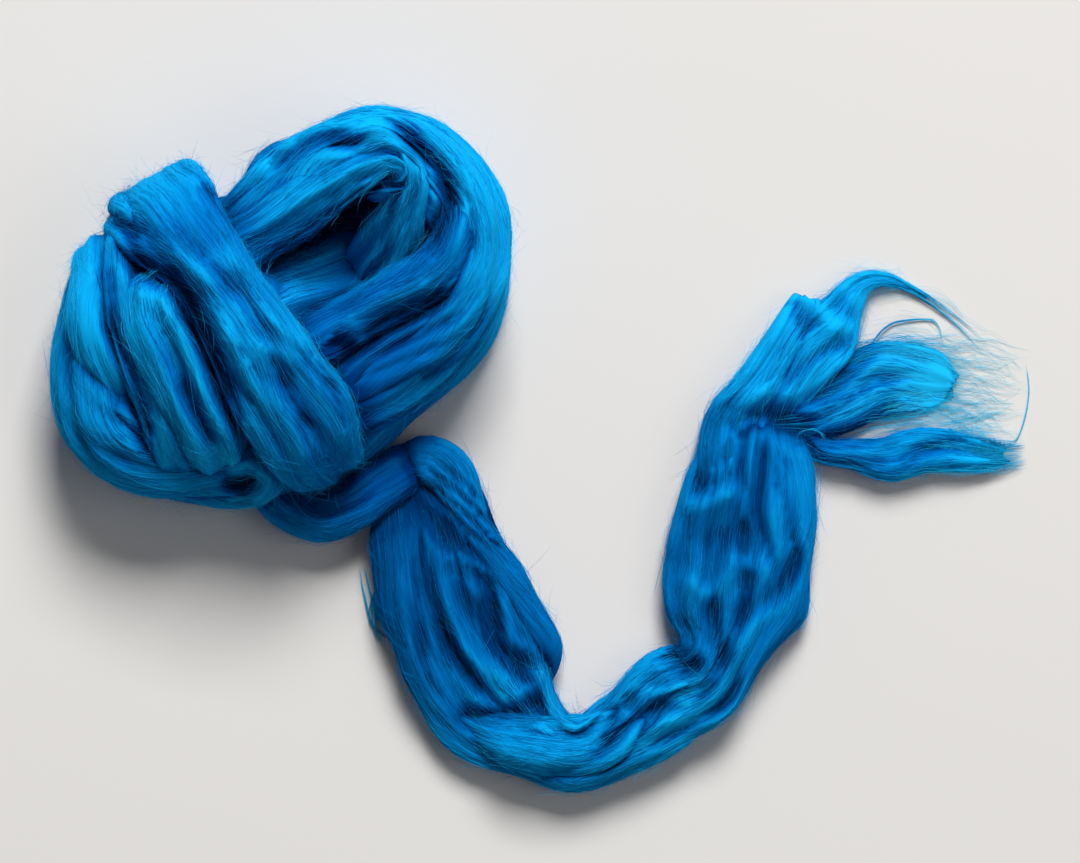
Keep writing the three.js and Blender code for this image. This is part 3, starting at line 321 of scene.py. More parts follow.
# Sprays of loose fibre. Columns of rows: x, y, z, spread in plan, spread in height.
# lock: fibres that keep together. curl: how far in millimetres a fibre strays, and wave: over what length.
# shortest: share of the route. tone: at the start, and gained to the end as painted light where the spray
# thins out.
SPRAYS = {
    "top_lock": dict(count=60, lock=10, radius=0.07, shortest=0.35, curl=0.7, rows=[
        (84, 35, 6, 6, 2), (90, 43, 4.6, 4, 2), (96, 49.2, 3, 2.4, 1.4), (103, 50.8, 2, 1.5, 1),
        (112, 47.4, 1.4, 1.1, 0.8), (122, 40.6, 0.9, 0.9, 0.5), (134, 30, 0.6, 1.8, 0.3)]),
    "middle_sheet": dict(count=240, lock=5, radius=0.06, shortest=0.5, curl=2.4, wave=6, rows=[
        (68, 10, 9, 5, 2), (80, 13, 7.4, 9, 1.8), (92, 17.5, 5, 11, 1.6), (104, 21.5, 2.8, 11.5, 1.2),
        (114, 21.5, 1.5, 10, 0.7), (126, 20, 0.7, 9.5, 0.4)]),
    "lower_lock": dict(count=130, lock=5, radius=0.06, shortest=0.5, curl=1.5, rows=[
        (74, 4, 7, 3, 2), (84, -0.5, 6, 3.8, 2), (95, -2, 5.6, 4.4, 2), (105, -3, 5.4, 6.6, 2),
        (115, -0.5, 5, 6.2, 2), (126, -1, 4.2, 6, 1.6), (136, -2.2, 2.6, 5, 1.2), (145, -1.8, 0.9, 4, 0.5)]),
    "head": dict(count=24, lock=3, radius=0.06, shortest=0.6, curl=0.8, rows=[
        (67, 6, 12, 7, 1), (69, 16, 12.6, 10, 0.8), (75, 27, 12.4, 11, 0.8), (81, 37, 10.6, 11, 0.8),
        (85, 46, 7, 9, 1)]),
    "web": dict(count=120, lock=2, radius=0.035, shortest=0.3, curl=3, wave=5, rows=[
        (100, 23, 2, 9, 0.8), (116, 25, 1, 11, 0.6), (131, 24, 0.7, 13, 0.5), (146, 21, 0.5, 10, 0.3)]),
    "web_above": dict(count=26, lock=2, radius=0.03, shortest=0.3, curl=3, wave=6, rows=[
        (94, 38, 3, 7, 0.8), (110, 40, 1, 8, 0.6), (124, 34, 0.7, 8, 0.4), (140, 25, 0.5, 6, 0.3)]),
    "web_below": dict(count=90, lock=3, radius=0.04, shortest=0.35, curl=2.4, wave=5, rows=[
        (90, 6, 5, 5, 1), (104, 9, 1.6, 4, 0.6), (118, 10.5, 0.8, 4, 0.4), (132, 11, 0.5, 3, 0.3),
        (143, 12, 0.4, 2, 0.2)]),
    "sheet_fringe": dict(
        count=340, lock=4, radius=0.04, shortest=0.45, curl=2, wave=4, tone=(0.7, 0.3), rows=[
        (101, 20.5, 4.4, 11, 0.8), (109, 21.5, 2.6, 10.5, 0.7), (116, 21, 1.6, 9.5, 0.5),
        (122, 19.5, 0.9, 8.5, 0.3), (128, 17.5, 0.6, 8, 0.2)]),
    "lock_fringe": dict(
        count=260, lock=5, radius=0.05, shortest=0.45, curl=1.2, wave=5, tone=(0.6, 0.3), rows=[
        (124, -1, 5.2, 5.6, 0.8), (130, -1.5, 4, 5.2, 0.8), (136, -2, 2.6, 4.6, 0.8),
        (141, -2, 1.4, 4.2, 0.5), (146, -1.5, 0.7, 3.8, 0.3)]),
    "bridge": dict(count=240, lock=5, radius=0.06, shortest=0.5, curl=0.6, tone=(0.3, 0.2), rows=[
        (52, -12, 13.5, 5, 0.4), (52.5, -2, 13, 5, 0.4), (54, 6, 10, 5, 0.4), (57.5, 13, 9.5, 5, 0.4),
        (62, 20, 10.5, 5, 0.4)]),
    "curls": dict(count=60, lock=3, radius=0.04, shortest=0.4, curl=2.4, wave=3.4, rows=[
        (116, 4, 4.6, 3, 1), (124, 6, 2.6, 3, 0.8), (132, 6, 1.2, 3, 0.5), (140, 3, 0.8, 3, 0.4)]),
    "edge": dict(count=10, lock=10, radius=0.04, shortest=0.7, curl=0.5, rows=[
        (136, -1, 1.6, 2, 0.6), (143, 1.5, 0.7, 1, 0.3), (145.5, 8, 0.5, 0.7, 0.2),
        (147.5, 18, 0.4, 0.8, 0.2), (147, 27, 0.4, 1.2, 0.2)]),
    "hooked": dict(count=24, lock=24, radius=0.05, shortest=0.6, curl=0.5, rows=[
        (97, 25, 4, 1.6, 0.8), (101, 32.5, 2, 1.2, 0.5), (105.5, 37, 1.2, 0.8, 0.4),
        (112, 38, 0.9, 0.9, 0.3), (119, 37.6, 0.6, 0.9, 0.3), (119.6, 31, 0.5, 1, 0.2)]),
    "loop": dict(count=18, lock=9, radius=0.06, shortest=0.8, curl=0.5, rows=[
        (75.5, 1, 12.4, 1, 0.4), (76.6, 4.4, 12.8, 0.8, 0.4), (80, 6.2, 12.6, 0.7, 0.4),
        (83.4, 5.6, 12, 0.7, 0.4), (85.2, 3, 10.6, 0.7, 0.4), (84.6, 0.5, 8.6, 0.6, 0.3)]),
    "web_far": dict(count=60, lock=2, radius=0.03, shortest=0.4, curl=3.2, wave=5, rows=[
        (116, 17, 0.9, 10, 0.5), (128, 16, 0.6, 13, 0.4), (139, 13, 0.5, 13, 0.3), (147, 12, 0.4, 12, 0.2)]),
    "side_wisp": dict(count=40, lock=14, radius=0.07, shortest=0.6, curl=0.4, rows=[
        (-43, -56, 3, 2, 1), (-48.5, -53, 1.6, 2, 0.6), (-51.5, -45, 0.9, 1.2, 0.4),
        (-53.6, -34, 0.5, 0.5, 0.2)]),
    "side_fuzz": dict(count=50, lock=8, radius=0.055, shortest=0.5, curl=0.9, rows=[
        (-44, -38, 4, 2, 1.4), (-49, -44, 1.6, 2, 0.8), (-50, -52, 0.8, 1.6, 0.4),
        (-47.5, -60, 0.5, 0.8, 0.2)]),
}
LOCK_RADIUS = 0.05  # sprays of thinner fibres are wisps

# Kinds of fibre on the bands. Columns: length, radius, lift off the band, share with a loose end, slope
# across the band, how far up or down it may face there, spacing of points, how far a loose end stands off.
FIBRES = {
    "laid": (32, 0.075, 0.2, 0.1, 0.06, 1, 4.6, 1),
    "laid_end": (26, 0.07, 0.2, 0.15, 0.08, 1, 4.6, 1),
    "flyaway": (20, 0.03, 1, 0.9, 0.35, 1, 5, 1),
    "rim": (11, 0.03, 0.5, 1, 0.5, 0.5, 3.6, 1.6),
    "rim_end": (11, 0.03, 0.5, 1, 0.5, 0.6, 3.6, 1.6),
}

# Colours from the painted shade of the creases to the painted light on the open tops, and the strength of
# the streaks
# thin, wisp, fuzz and sheet are lighter: painted light for the light that passes through thin fibre
COLOURS = {
    "roving": ((0, 0.034, 0.175), (0, 0.145, 0.485), (0.003, 0.375, 0.77), 0.42),
    "tail_roving": ((0, 0.035, 0.152), (0, 0.145, 0.445), (0.003, 0.375, 0.76), 0.42),
    "tail_fibre": ((0, 0.042, 0.18), (0, 0.165, 0.475), (0.004, 0.41, 0.79), 0),
    "sheet": ((0, 0.045, 0.21), (0, 0.17, 0.52), (0.01, 0.44, 0.8), 0.42),
    "fibre": ((0, 0.042, 0.21), (0, 0.165, 0.52), (0.004, 0.41, 0.8), 0),
    "thin": ((0, 0.085, 0.34), (0, 0.26, 0.63), (0.02, 0.6, 0.88), 0),
    "wisp": ((0, 0.38, 0.7), (0.01, 0.55, 0.84), (0.06, 0.7, 0.93), 0),
    "fuzz": ((0, 0.08, 0.3), (0, 0.24, 0.6), (0.02, 0.5, 0.84), 0),
}
SILK = {
    "Roughness": 0.46, "Specular IOR Level": 0, "Sheen Weight": 0.25, "Sheen Roughness": 0.4,
    "Sheen Tint": (0.02, 0.5, 0.95, 1)}
# Lights that point at the roving: place, size and power
LIGHTS = {"key": ((0.5, 2.9, 2.9), 1.6, 225), "side": ((2.6, -0.4, 3), 2.4, 20)}


def ease(x):
    """From 0 to 1, level at both."""
    x = np.clip(x, 0, 1)
    return x * x * (3 - 2 * x)


def lattice(i, j, seed):
    """A fixed value from -1 to 1 for each whole i and j."""
    n = (i * 374761393 + j * 668265263 + seed * 974711) & 0xFFFFFFFF
    n = ((n ^ (n >> 13)) * 1274126177) & 0xFFFFFFFF
    return ((n ^ (n >> 16)) & 0xFFFF) / 32767.5 - 1.0


def noise(x, y, seed):
    """Smooth noise from -1 to 1."""
    i, j = np.floor(x).astype(np.int64), np.floor(y).astype(np.int64)
    fx, fy = ease(x - i), ease(y - j)
    low = lattice(i, j, seed) * (1 - fx) + lattice(i + 1, j, seed) * fx
    high = lattice(i, j + 1, seed) * (1 - fx) + lattice(i + 1, j + 1, seed) * fx
    return low * (1 - fy) + high * fy


def unit(v):
    """Vectors of length 1."""
    return v / np.maximum(np.linalg.norm(v, axis=-1, keepdims=True), 1e-12)


def full(v):
    """A sine or cosine, filled out."""
    return np.sign(v) * np.abs(v) ** FULLNESS


def smooth(rows, step, closed=False):
    """Rows as stations about one step apart along a smooth line through them, and its length."""
    rows = np.asarray(rows, float)
    if closed:
        ring = np.vstack([rows[-1], rows, rows[:2]])
    else:
        ring = np.vstack([2 * rows[0] - rows[1], rows, 2 * rows[-1] - rows[-2]])
    fine = []
    t = np.linspace(0, 1, 24, endpoint=False)[:, None]
    for p0, p1, p2, p3 in zip(ring, ring[1:], ring[2:], ring[3:]):
        spans = ((p0, p1), (p1, p2), (p2, p3))
        d0, d1, d2 = (max(np.linalg.norm(b[:3] - a[:3]), 1e-4) ** 0.5 for a, b in spans)
        m1 = ((p1 - p0) / d0 - (p2 - p0) / (d0 + d1) + (p2 - p1) / d1) * d1
        m2 = ((p2 - p1) / d1 - (p3 - p1) / (d1 + d2) + (p3 - p2) / d2) * d1
        fine.append(p1 + m1 * t + (3 * (p2 - p1) - 2 * m1 - m2) * t**2 + (2 * (p1 - p2) + m1 + m2) * t**3)
    fine = np.vstack(fine + [rows[:1] if closed else rows[-1:]])
    reach = np.concatenate([[0], np.cumsum(np.linalg.norm(np.diff(fine[:, :3], axis=0), axis=1))])
    count = max(4, round(reach[-1] / step))
    at = np.linspace(0, reach[-1], count + 1)
    at = at[:-1] if closed else at
    return np.stack([np.interp(at, reach, column) for column in fine.T], 1), reach[-1]


def wander(along, across, seed):
    """How far the fibres of a band stray to one side as they run along it."""
    return 4.2 * noise(along / 30, across / 16, seed) + 1.1 * noise(along / 11, across / 6, seed + 1)


def relief(along, lane, seed, fold, height, crimp):
    """Folds and bundles of fibre that run along the lanes, with sharp valleys, and waves across them."""
    wide = np.abs(noise(lane / 8.5, along / 46, seed + 2)) - 0.5
    slim = np.abs(noise(lane / 3.4, along / 36, seed + 3)) - 0.5
    thin = np.abs(noise(lane / 1.4, along / 30, seed + 4)) - 0.35
    wave = noise(along / 9, lane / 8, seed + 5) + 1.3 * noise(along / 22, lane / 15, seed + 6)
    return fold * wide + height * (slim + 0.3 * thin) + crimp * wave


class Band:
    """A flattened rope of roving: a grid of points along it and round it.
    fold, height and crimp are those of its relief."""

    def __init__(self, table, seed, fold, height, crimp, creases):
        self.closed = table.get("closed", False)
        self.seed = seed
        rows, self.length = smooth(table["rows"], STEP, self.closed)
        self.path = rows[:, :3]
        self.step = self.length / len(rows)
        reach = np.arange(len(rows))[:, None] * self.step
        near, far = table.get("calm", [0.06 * self.length] * 2)
        ends = ease(reach / near) * ease((self.length - reach) / far)
        self.sweep(table, rows[:, 3:4], rows[:, 4:5], reach, ends)
        self.along = reach + 0 * self.v
        across = self.v + 0 * reach
        self.lane = across + wander(self.along, across, seed)
        shown = np.clip((self.out + 0.75) / 0.5, 0, 1)
        self.h = relief(self.along, self.lane, seed, fold, height, crimp) * shown * ends
        self.grid += self.normals() * self.h[..., None]
        self.fall = folds(self.grid, creases) * np.clip(self.normals()[..., 2] * 2, 0, 1)
        self.grid[..., 2] += self.fall
        if "ragged" in table:
            self.fray(table["ragged"], reach)
        self.grid[..., 2] = np.maximum(self.grid[..., 2], BAND_LOW)
        self.normal = self.normals()
        self.tone = 0.5 + 0 * self.h
        # Painted light (above 0) and painted shade (below 0) along the band, from its shade rows
        self.painted_light_and_shade = np.interp(self.along, *np.transpose(table.get("shade", [(0, 0)])))

    def sweep(self, table, width, thick, reach, ends):
        """The sections in their places, with soft pleats and uneven edges."""
        near, far = (0, 0) if self.closed else table.get("blend", (7, 7))
        whole = ease(reach / max(near, 0.1)) * ease((self.length - reach) / max(far, 0.1))
        at = self.path
        ahead = unit(self.ahead(at))
        face = at - np.asarray(table.get("core", BELOW), float)
        face = unit(face - ahead * (face * ahead).sum(1, keepdims=True))
        side = np.cross(face, ahead)
        at = at - face * thick * END_SINK * (1 - whole)
        width = width * (1 - table.get("narrow", 0.55) * (1 - whole))
        thick = thick * (END_THIN + (1 - END_THIN) * whole)
        angle = self.angles(width.max(), thick.max())
        across, self.out = full(np.cos(angle)), full(np.sin(angle))
        share = np.arange(len(at))[:, None] / len(at)
        ripple = np.cos(np.pi * (table.get("pleats", 0) * across + table.get("drift", 1) * share))
        rise = 1 + 2 * table.get("depth", 0) * ripple * (self.out > 0)
        sway = [SWAY * width * ends * noise(reach / 15, 0 * reach + 0.5, self.seed + n) for n in (20, 21)]
        edge = (across * width + (1 + across) * sway[0] + (1 - across) * sway[1]) / 2
        self.grid = (
            at[:, None] + side[:, None] * edge[..., None]
            + face[:, None] * (self.out * rise * thick / 2)[..., None])

    def angles(self, width, thick):
        """Angles round a section, close together on the face and sides and wide apart on the back."""
        dense = np.linspace(-np.pi / 2, 1.5 * np.pi, 1441)
        x, y = full(np.cos(dense)) * width / 2, full(np.sin(dense)) * thick / 2
        weight = np.where(np.sin(dense[1:]) > -0.45, 1.0, 0.22)
        reach = np.concatenate([[0], np.cumsum(np.hypot(np.diff(x), np.diff(y)) * weight)])
        count = max(12, round(reach[-1] / PITCH))
        stops = np.arange(count) * reach[-1] / count
        self.v = stops - reach[-1] / 2
        self.pitch = reach[-1] / count
        return np.interp(stops, reach, dense)

    def fray(self, ragged, reach):
        """The far end drawn back by uneven lengths."""
        back = ragged * (0.5 + 0.5 * noise(self.v / 1.3, 0 * self.v + 0.5, self.seed + 9))
        late = ease((reach - self.length + 3 * ragged) / (3 * ragged))
        columns = np.arange(len(self.v)) + 0 * reach
        self.grid = self.at(self.grid, (reach - back * late) / self.step, columns)

    def shade(self, tree):
        """Tone: painted shade where other turns close over the surface and in creases and valleys, painted
        light where it lies open and on ridges, plus the painted light and shade listed for the band.
        """
        # Painted shade in the valleys and creases of the relief, painted light on its ridges
        depth = 0.11 * np.clip(self.h, -1.6, 1.4) + 0.08 * np.clip(self.fall, -7, 2.5)
        self.tone = np.clip(0.95 * openness(self, tree) ** 1.3 - 0.14 + self.painted_light_and_shade + depth, 0, 1)

    def ahead(self, points):
        """How the points change along the band."""
        if self.closed:
            return np.roll(points, -1, 0) - np.roll(points, 1, 0)
        return np.gradient(points, axis=0)

    def normals(self):
        round_it = np.roll(self.grid, -1, 1) - np.roll(self.grid, 1, 1)
        return unit(np.cross(round_it, self.ahead(self.grid)))

    def at(self, field, i, k):
        """A field of the grid read between its points."""
        n, m = field.shape[:2]
        i = i % n if self.closed else np.clip(i, 0, n - 1.001)
        i0, k0 = np.floor(i).astype(int), np.floor(k).astype(int)
        a, b = (i - i0)[..., None], (k - k0)[..., None]
        i1 = (i0 + 1) % n
        k0, k1 = k0 % m, (k0 + 1) % m
        low = field[i0, k0] * (1 - a) + field[i1, k0] * a
        return low * (1 - b) + (field[i0, k1] * (1 - a) + field[i1, k1] * a) * b

    def faces(self):
        """Points and triangles, with a cap on each end of an open band."""
        n, m = self.grid.shape[:2]
        i = np.arange(n if self.closed else n - 1)[:, None]
        k = np.arange(m)
        a, b = i * m + k, i * m + (k + 1) % m
        c, d = ((i + 1) % n) * m + (k + 1) % m, ((i + 1) % n) * m + k
        tris = np.stack([np.stack([a, b, c], -1), np.stack([a, c, d], -1)], 2).reshape(-1, 3)
        points = self.grid.reshape(-1, 3)
        if self.closed:
            return points, tris
        first, last = n * m, n * m + 1
        points = np.vstack([points, self.grid[0].mean(0), self.grid[-1].mean(0)])
        near = np.stack([np.full(m, first), (k + 1) % m, k], 1)
        far = np.stack([np.full(m, last), (n - 1) * m + k, (n - 1) * m + (k + 1) % m], 1)
        return points, np.vstack([tris, near, far])


def folds(grid, creases):
    """How far the listed creases and ridges move each point up or down."""
    flat = grid[..., :2].reshape(-1, 2)
    total = np.zeros(len(flat))
    for height, half, points in creases:
        line, reach = smooth([(x, y, 0) for x, y in points], 1.5)
        line = line[:, :2]
        apart = np.linalg.norm(flat[:, None] - line[None], axis=2)
        place = apart.argmin(1) / (len(line) - 1)
        fade = np.clip(np.minimum(place, 1 - place) / 0.16, 0, 1)
        uneven = 0.8 + 0.35 * noise(place * reach / 9, place * 0 + half, 5)
        far = apart.min(1) / half
        if height > 0:
            profile = np.exp(-far**2)
        else:
            profile = np.exp(-1.3 * far) - 0.22 * np.exp(-((far - 2.2) / 0.9) ** 2)
        total += height * fade * uneven * profile
    return total.reshape(grid.shape[:2])


def openness(band, tree):
    """How much of the space over each point is free of other turns, from 0 in a crease to 1, for the painted
    shade of the tone.
    """
    up = np.array([0.95, 0.75, 0.75, 0.45, 0.45, 0.45])
    turn = np.array([0, 0.3, 3.4, 1.2, 3.3, 5.4])
    flat = np.sqrt(1 - up**2)
    points, normal = band.grid.reshape(-1, 3), band.normal.reshape(-1, 3)
    side = unit(np.cross(normal, (0.31, 0.27, 0.91)))
    other = np.cross(normal, side)
    free = np.zeros(len(points))
    start = points + 0.5 * normal
    for a, b, c in zip(up, flat * np.cos(turn), flat * np.sin(turn)):
        ways = a * normal + b * side + c * other
        for n in range(len(points)):
            hit = tree.ray_cast(start[n], ways[n], OPEN_REACH)
            free[n] += 1 if hit[0] is None else (hit[3] / OPEN_REACH) ** 2
    free = (free / len(up)).reshape(band.grid.shape[:2])
    for axis in (0, 1):
        free = (np.roll(free, 1, axis) + 2 * free + np.roll(free, -1, axis)) / 4
    return free


class Soup:
    """Triangles with a tone and a flow (along, across) at each point, gathered into one piece."""

    def __init__(self):
        self.points, self.tris, self.tone, self.flow, self.count = [], [], [], [], 0

    def add(self, points, tris, tone, flow):
        self.points.append(points)
        self.tris.append(tris + self.count)
        self.tone.append(tone)
        self.flow.append(flow)
        self.count += len(points)

    def add_band(self, band, seed):
        points, tris = band.faces()
        extra = len(points) - band.tone.size
        tone = np.concatenate([band.tone.ravel(), np.full(extra, 0.5)])
        flow = np.stack([band.along, band.lane + 100 * seed, 0 * band.along], -1).reshape(-1, 3)
        self.add(points, tris, tone, np.vstack([flow, np.zeros((extra, 3))]))

    def tree(self):
        return BVHTree.FromPolygons(np.vstack(self.points).tolist(), np.vstack(self.tris).tolist())

    def piece(self, name, material, slot):
        points, tris = np.vstack(self.points) * MM, np.vstack(self.tris)
        mesh = bpy.data.meshes.new(name)
        mesh.vertices.add(len(points))
        mesh.vertices.foreach_set("co", points.astype(np.float32).ravel())
        mesh.loops.add(tris.size)
        mesh.loops.foreach_set("vertex_index", tris.astype(np.int32).ravel())
        mesh.polygons.add(len(tris))
        mesh.polygons.foreach_set("loop_start", np.arange(0, tris.size, 3, dtype=np.int32))
        mesh.polygons.foreach_set("use_smooth", np.ones(len(tris), bool))
        tone = mesh.attributes.new("tone", "FLOAT", "POINT")
        tone.data.foreach_set("value", np.concatenate(self.tone).astype(np.float32))
        flow = mesh.attributes.new("flow", "FLOAT_VECTOR", "POINT")
        flow.data.foreach_set("vector", np.vstack(self.flow).astype(np.float32).ravel())
        mesh.update(calc_edges=True)
        mesh.validate()
        mesh.materials.append(look[material])
        piece = bpy.data.objects.new(name, mesh)
        bpy.context.collection.objects.link(piece)
        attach(piece, "root")
        return piece


def tubes(soup, points, normal, radius, tone):
    """Thin closed fibres of three sides through rows of points, with a radius and a tone at each point."""
    count, long = points.shape[:2]
    ahead = unit(np.gradient(points, axis=1))
    beside = unit(np.cross(ahead, normal))
    above = np.cross(beside, ahead)
    turn = np.array([0.5, 0.5 + 2 / 3, 0.5 + 4 / 3]) * np.pi
    ring = (
        points[:, :, None] + radius[:, :, None, None]
        * (np.cos(turn)[:, None] * beside[:, :, None] + np.sin(turn)[:, None] * above[:, :, None]))
    ring[..., 2] = np.maximum(ring[..., 2], FIBRE_LOW)
    base = (np.arange(count) * long * 3)[:, None, None] + (np.arange(long - 1) * 3)[:, None]
    k = np.arange(3)
    a, b = base + k, base + (k + 1) % 3
    tris = np.stack([np.stack([a, b, b + 3], -1), np.stack([a, b + 3, a + 3], -1)], 3).reshape(-1, 3)
    start = (np.arange(count) * long * 3)[:, None]
    stop = start + (long - 1) * 3
    caps = np.vstack([start + np.array([2, 1, 0]), stop + np.array([0, 1, 2])])
    flow = np.zeros((count * long * 3, 3))
    soup.add(ring.reshape(-1, 3), np.vstack([tris, caps]), np.repeat(tone.ravel(), 3), flow)


def hair(soup, band, tree, density, kind, seed):
    """Fibres of one kind that lie along a band where no other turn covers it."""
    pick = np.random.default_rng(seed)
    length, radius, lift, loose, skew, steep, spacing, stand = kind
    shown = np.where(band.out > -0.5)[0]
    count = int(band.length * len(shown) * band.pitch * density)
    length = min(length, band.length * 0.7)
    long = max(4, round(length / spacing))
    spacing = length / (long - 1) / band.step
    i = pick.uniform(0, band.grid.shape[0] - (0 if band.closed else long * spacing), count)
    k = pick.uniform(shown[0], shown[-1], count)
    middle = i + long * spacing / 2
    here = band.at(band.grid, middle, k)
    facing = band.at(band.normal, middle, k)
    free = np.abs(facing[:, 2]) <= steep
    for c in np.where(free)[0]:
        way = Vector(facing[c])
        hit, hit_normal, _, _ = tree.ray_cast(here[c] + 0.9 * facing[c], way, 40)
        if hit is not None and hit_normal.dot(way) > 0:
            free[c] = False
    i, k = i[free], k[free]
    count = len(i)
    j = np.arange(long)
    reach = pick.uniform(0.55, 1.0, count)[:, None]
    i = i[:, None] + j * spacing * reach
    slope = pick.normal(0, skew, count)[:, None] * j * spacing * band.step
    swing = slope - wander(i * band.step, band.v[0] + k[:, None] * band.pitch, band.seed)
    k = k[:, None] + (swing - swing[:, :1]) / band.pitch
    points = band.at(band.grid, i, k)
    normal = unit(band.at(band.normal, i, k))
    share = j / (long - 1)
    wave = np.sin(np.pi * share * pick.uniform(1, 3, count)[:, None] + pick.uniform(0, 6, count)[:, None])
    rise = lift * (0.35 + 0.3 * pick.random(count)[:, None] + 0.25 * wave)
    stray = (pick.random(count) < loose) * pick.exponential(stand, count)
    rise = rise + stray[:, None] * np.where(pick.random(count)[:, None] < 0.5, share, 1 - share) ** 2
    points = points + normal * rise[..., None]
    taper = np.clip(np.minimum(share, 1 - share) * 5 + 0.15, 0, 1)
    girth = radius * pick.uniform(0.7, 1.25, count)[:, None] * taper
    # Fibres take the band's tone, with its painted shade and painted light, a little lighter and varied at
    # random
    tone = band.at(band.tone[..., None], i[:, long // 2], k[:, long // 2])[:, 0]
    tone = np.clip(tone + pick.normal(0.04, 0.07, count), 0, 1)[:, None] + 0 * girth
    tubes(soup, points, normal, girth, tone)


def dress(band, tree, laid_soup, haze_soup, seeds, laid="laid", rim="rim", cover=1):
    """Fibres laid along a band, and a haze of flyaway ones over it and at its rim."""
    hair(laid_soup, band, tree, DENSITY * cover, FIBRES[laid], seeds[0])
    hair(haze_soup, band, tree, FUZZ, FIBRES["flyaway"], seeds[1])
    hair(haze_soup, band, tree, RIM_FUZZ, FIBRES[rim], seeds[2])


def spray(soup, table, seed):
    """Loose fibres in small locks that follow a route and spread to either side of it."""
    pick = np.random.default_rng(seed)
    wave = table.get("wave", 9)
    rows, length = smooth(table["rows"], min(4.4, wave * 0.45))
    count, long = table["count"], len(rows)
    step = length / (long - 1)
    ahead = unit(np.gradient(rows[:, :3], axis=0))
    fields = np.hstack([rows, unit(np.cross(ahead, (0, 0, 1)))])
    start = pick.uniform(0, 0.3, count)[:, None]
    stop = pick.uniform(table["shortest"], 1.0, count)[:, None]
    i = (start + (stop - start) * np.linspace(0, 1, long)) * (long - 1)
    read = np.stack([np.interp(i, np.arange(long), column) for column in fields.T], -1)
    locks = max(1, count // table["lock"])
    lock = pick.integers(0, locks, count)
    lane = pick.uniform(-1, 1, locks)[lock][:, None] + pick.normal(0, 0.09, count)[:, None]
    level = pick.normal(0, 0.4, locks)[lock][:, None] + pick.normal(0, 0.3, count)[:, None]
    free = ease(i / (long - 1) * 1.6)
    own, shared = np.arange(count)[:, None] * 17.3, lock[:, None] * 23.7
    stray = noise(i * step / wave + own, 0 * i + 0.5, seed) * 0.6
    stray = stray + noise(i * step / wave / 1.2 + shared, 0 * i + 0.5, seed + 1)
    aside = lane * read[..., 3] + table["curl"] * free * stray
    points = read[..., :3] + read[..., 5:] * aside[..., None]
    points[..., 2] += level * read[..., 4]
    points[..., 2] = np.maximum(points[..., 2], SPRAY_LOW)
    ends = np.linspace(0, 1, long)
    taper = np.clip(np.minimum(ends, 1 - ends) * 6 + 0.2, 0, 1)
    girth = table["radius"] * pick.uniform(0.7, 1.3, count)[:, None] * taper
    normal = np.zeros_like(points)
    normal[..., 2] = 1
    # Tone rises towards the free end: painted light where the spray thins out
    dark, gain = table.get("tone", (0.4, 0.7))
    tone = pick.normal(dark, 0.08, count)[:, None] + gain * (i / (long - 1)) ** 1.5
    tubes(soup, points, normal, girth, np.clip(tone, 0, 1))


def roving_material(name, deep, mid, light, streak):
    """Silky dyed fibre: streaks and wider locks along the flow, with painted shade between the bundles and
    painted light on the tops, carried by the tone.
    """
    mat = bpy.data.materials.new(name)
    mat.use_nodes = True
    nodes, links = mat.node_tree.nodes, mat.node_tree.links
    shader = nodes["Principled BSDF"]
    for key, value in SILK.items():
        shader.inputs[key].default_value = value

    def node(kind, **values):
        made = nodes.new("ShaderNode" + kind)
        for key, value in values.items():
            made.inputs[key].default_value = value
        return made

    def drawn_out(scale, detail, roughness, strength):
        """Noise drawn out along the flow, and the same centred on 0 at the given strength."""
        stretch = node("Mapping", Scale=scale)
        links.new(flow.outputs["Vector"], stretch.inputs["Vector"])
        texture = node("TexNoise", Scale=1, Detail=detail, Roughness=roughness)
        links.new(stretch.outputs["Vector"], texture.inputs["Vector"])
        centred = node("Math")
        centred.operation = "MULTIPLY_ADD"
        centred.inputs[1].default_value = strength
        centred.inputs[2].default_value = -0.5 * strength
        links.new(texture.outputs["Fac"], centred.inputs[0])
        return texture.outputs["Fac"], centred.outputs["Value"]

    def plus(a, b):
        both = node("Math")
        links.new(a, both.inputs[0])
        links.new(b, both.inputs[1])
        return both.outputs["Value"]

    flow = node("Attribute")
    flow.attribute_name = "flow"
    tone = node("Attribute")
    tone.attribute_name = "tone"
    streaks, fine = drawn_out((0.05, 2.6, 1), detail=4, roughness=0.65, strength=streak)
    _, locks = drawn_out((0.03, 0.62, 1), detail=1, roughness=0.5, strength=0.6 * streak)
    # The tone holds the painted shade and painted light, and the ramp turns it into colour
    ramp = node("ValToRGB")
    low, high = ramp.color_ramp.elements
    low.position, low.color = 0.08, (*deep, 1)
    high.position, high.color = 0.95, (*light, 1)
    ramp.color_ramp.elements.new(0.5).color = (*mid, 1)
    links.new(plus(tone.outputs["Fac"], plus(fine, locks)), ramp.inputs["Fac"])
    links.new(ramp.outputs["Color"], shader.inputs["Base Color"])
    bump = node("Bump", Strength=0.35, Distance=0.0003)
    links.new(streaks, bump.inputs["Height"])
    links.new(bump.outputs["Normal"], shader.inputs["Normal"])
    return mat


look = {name: roving_material(name, *row) for name, row in COLOURS.items()}

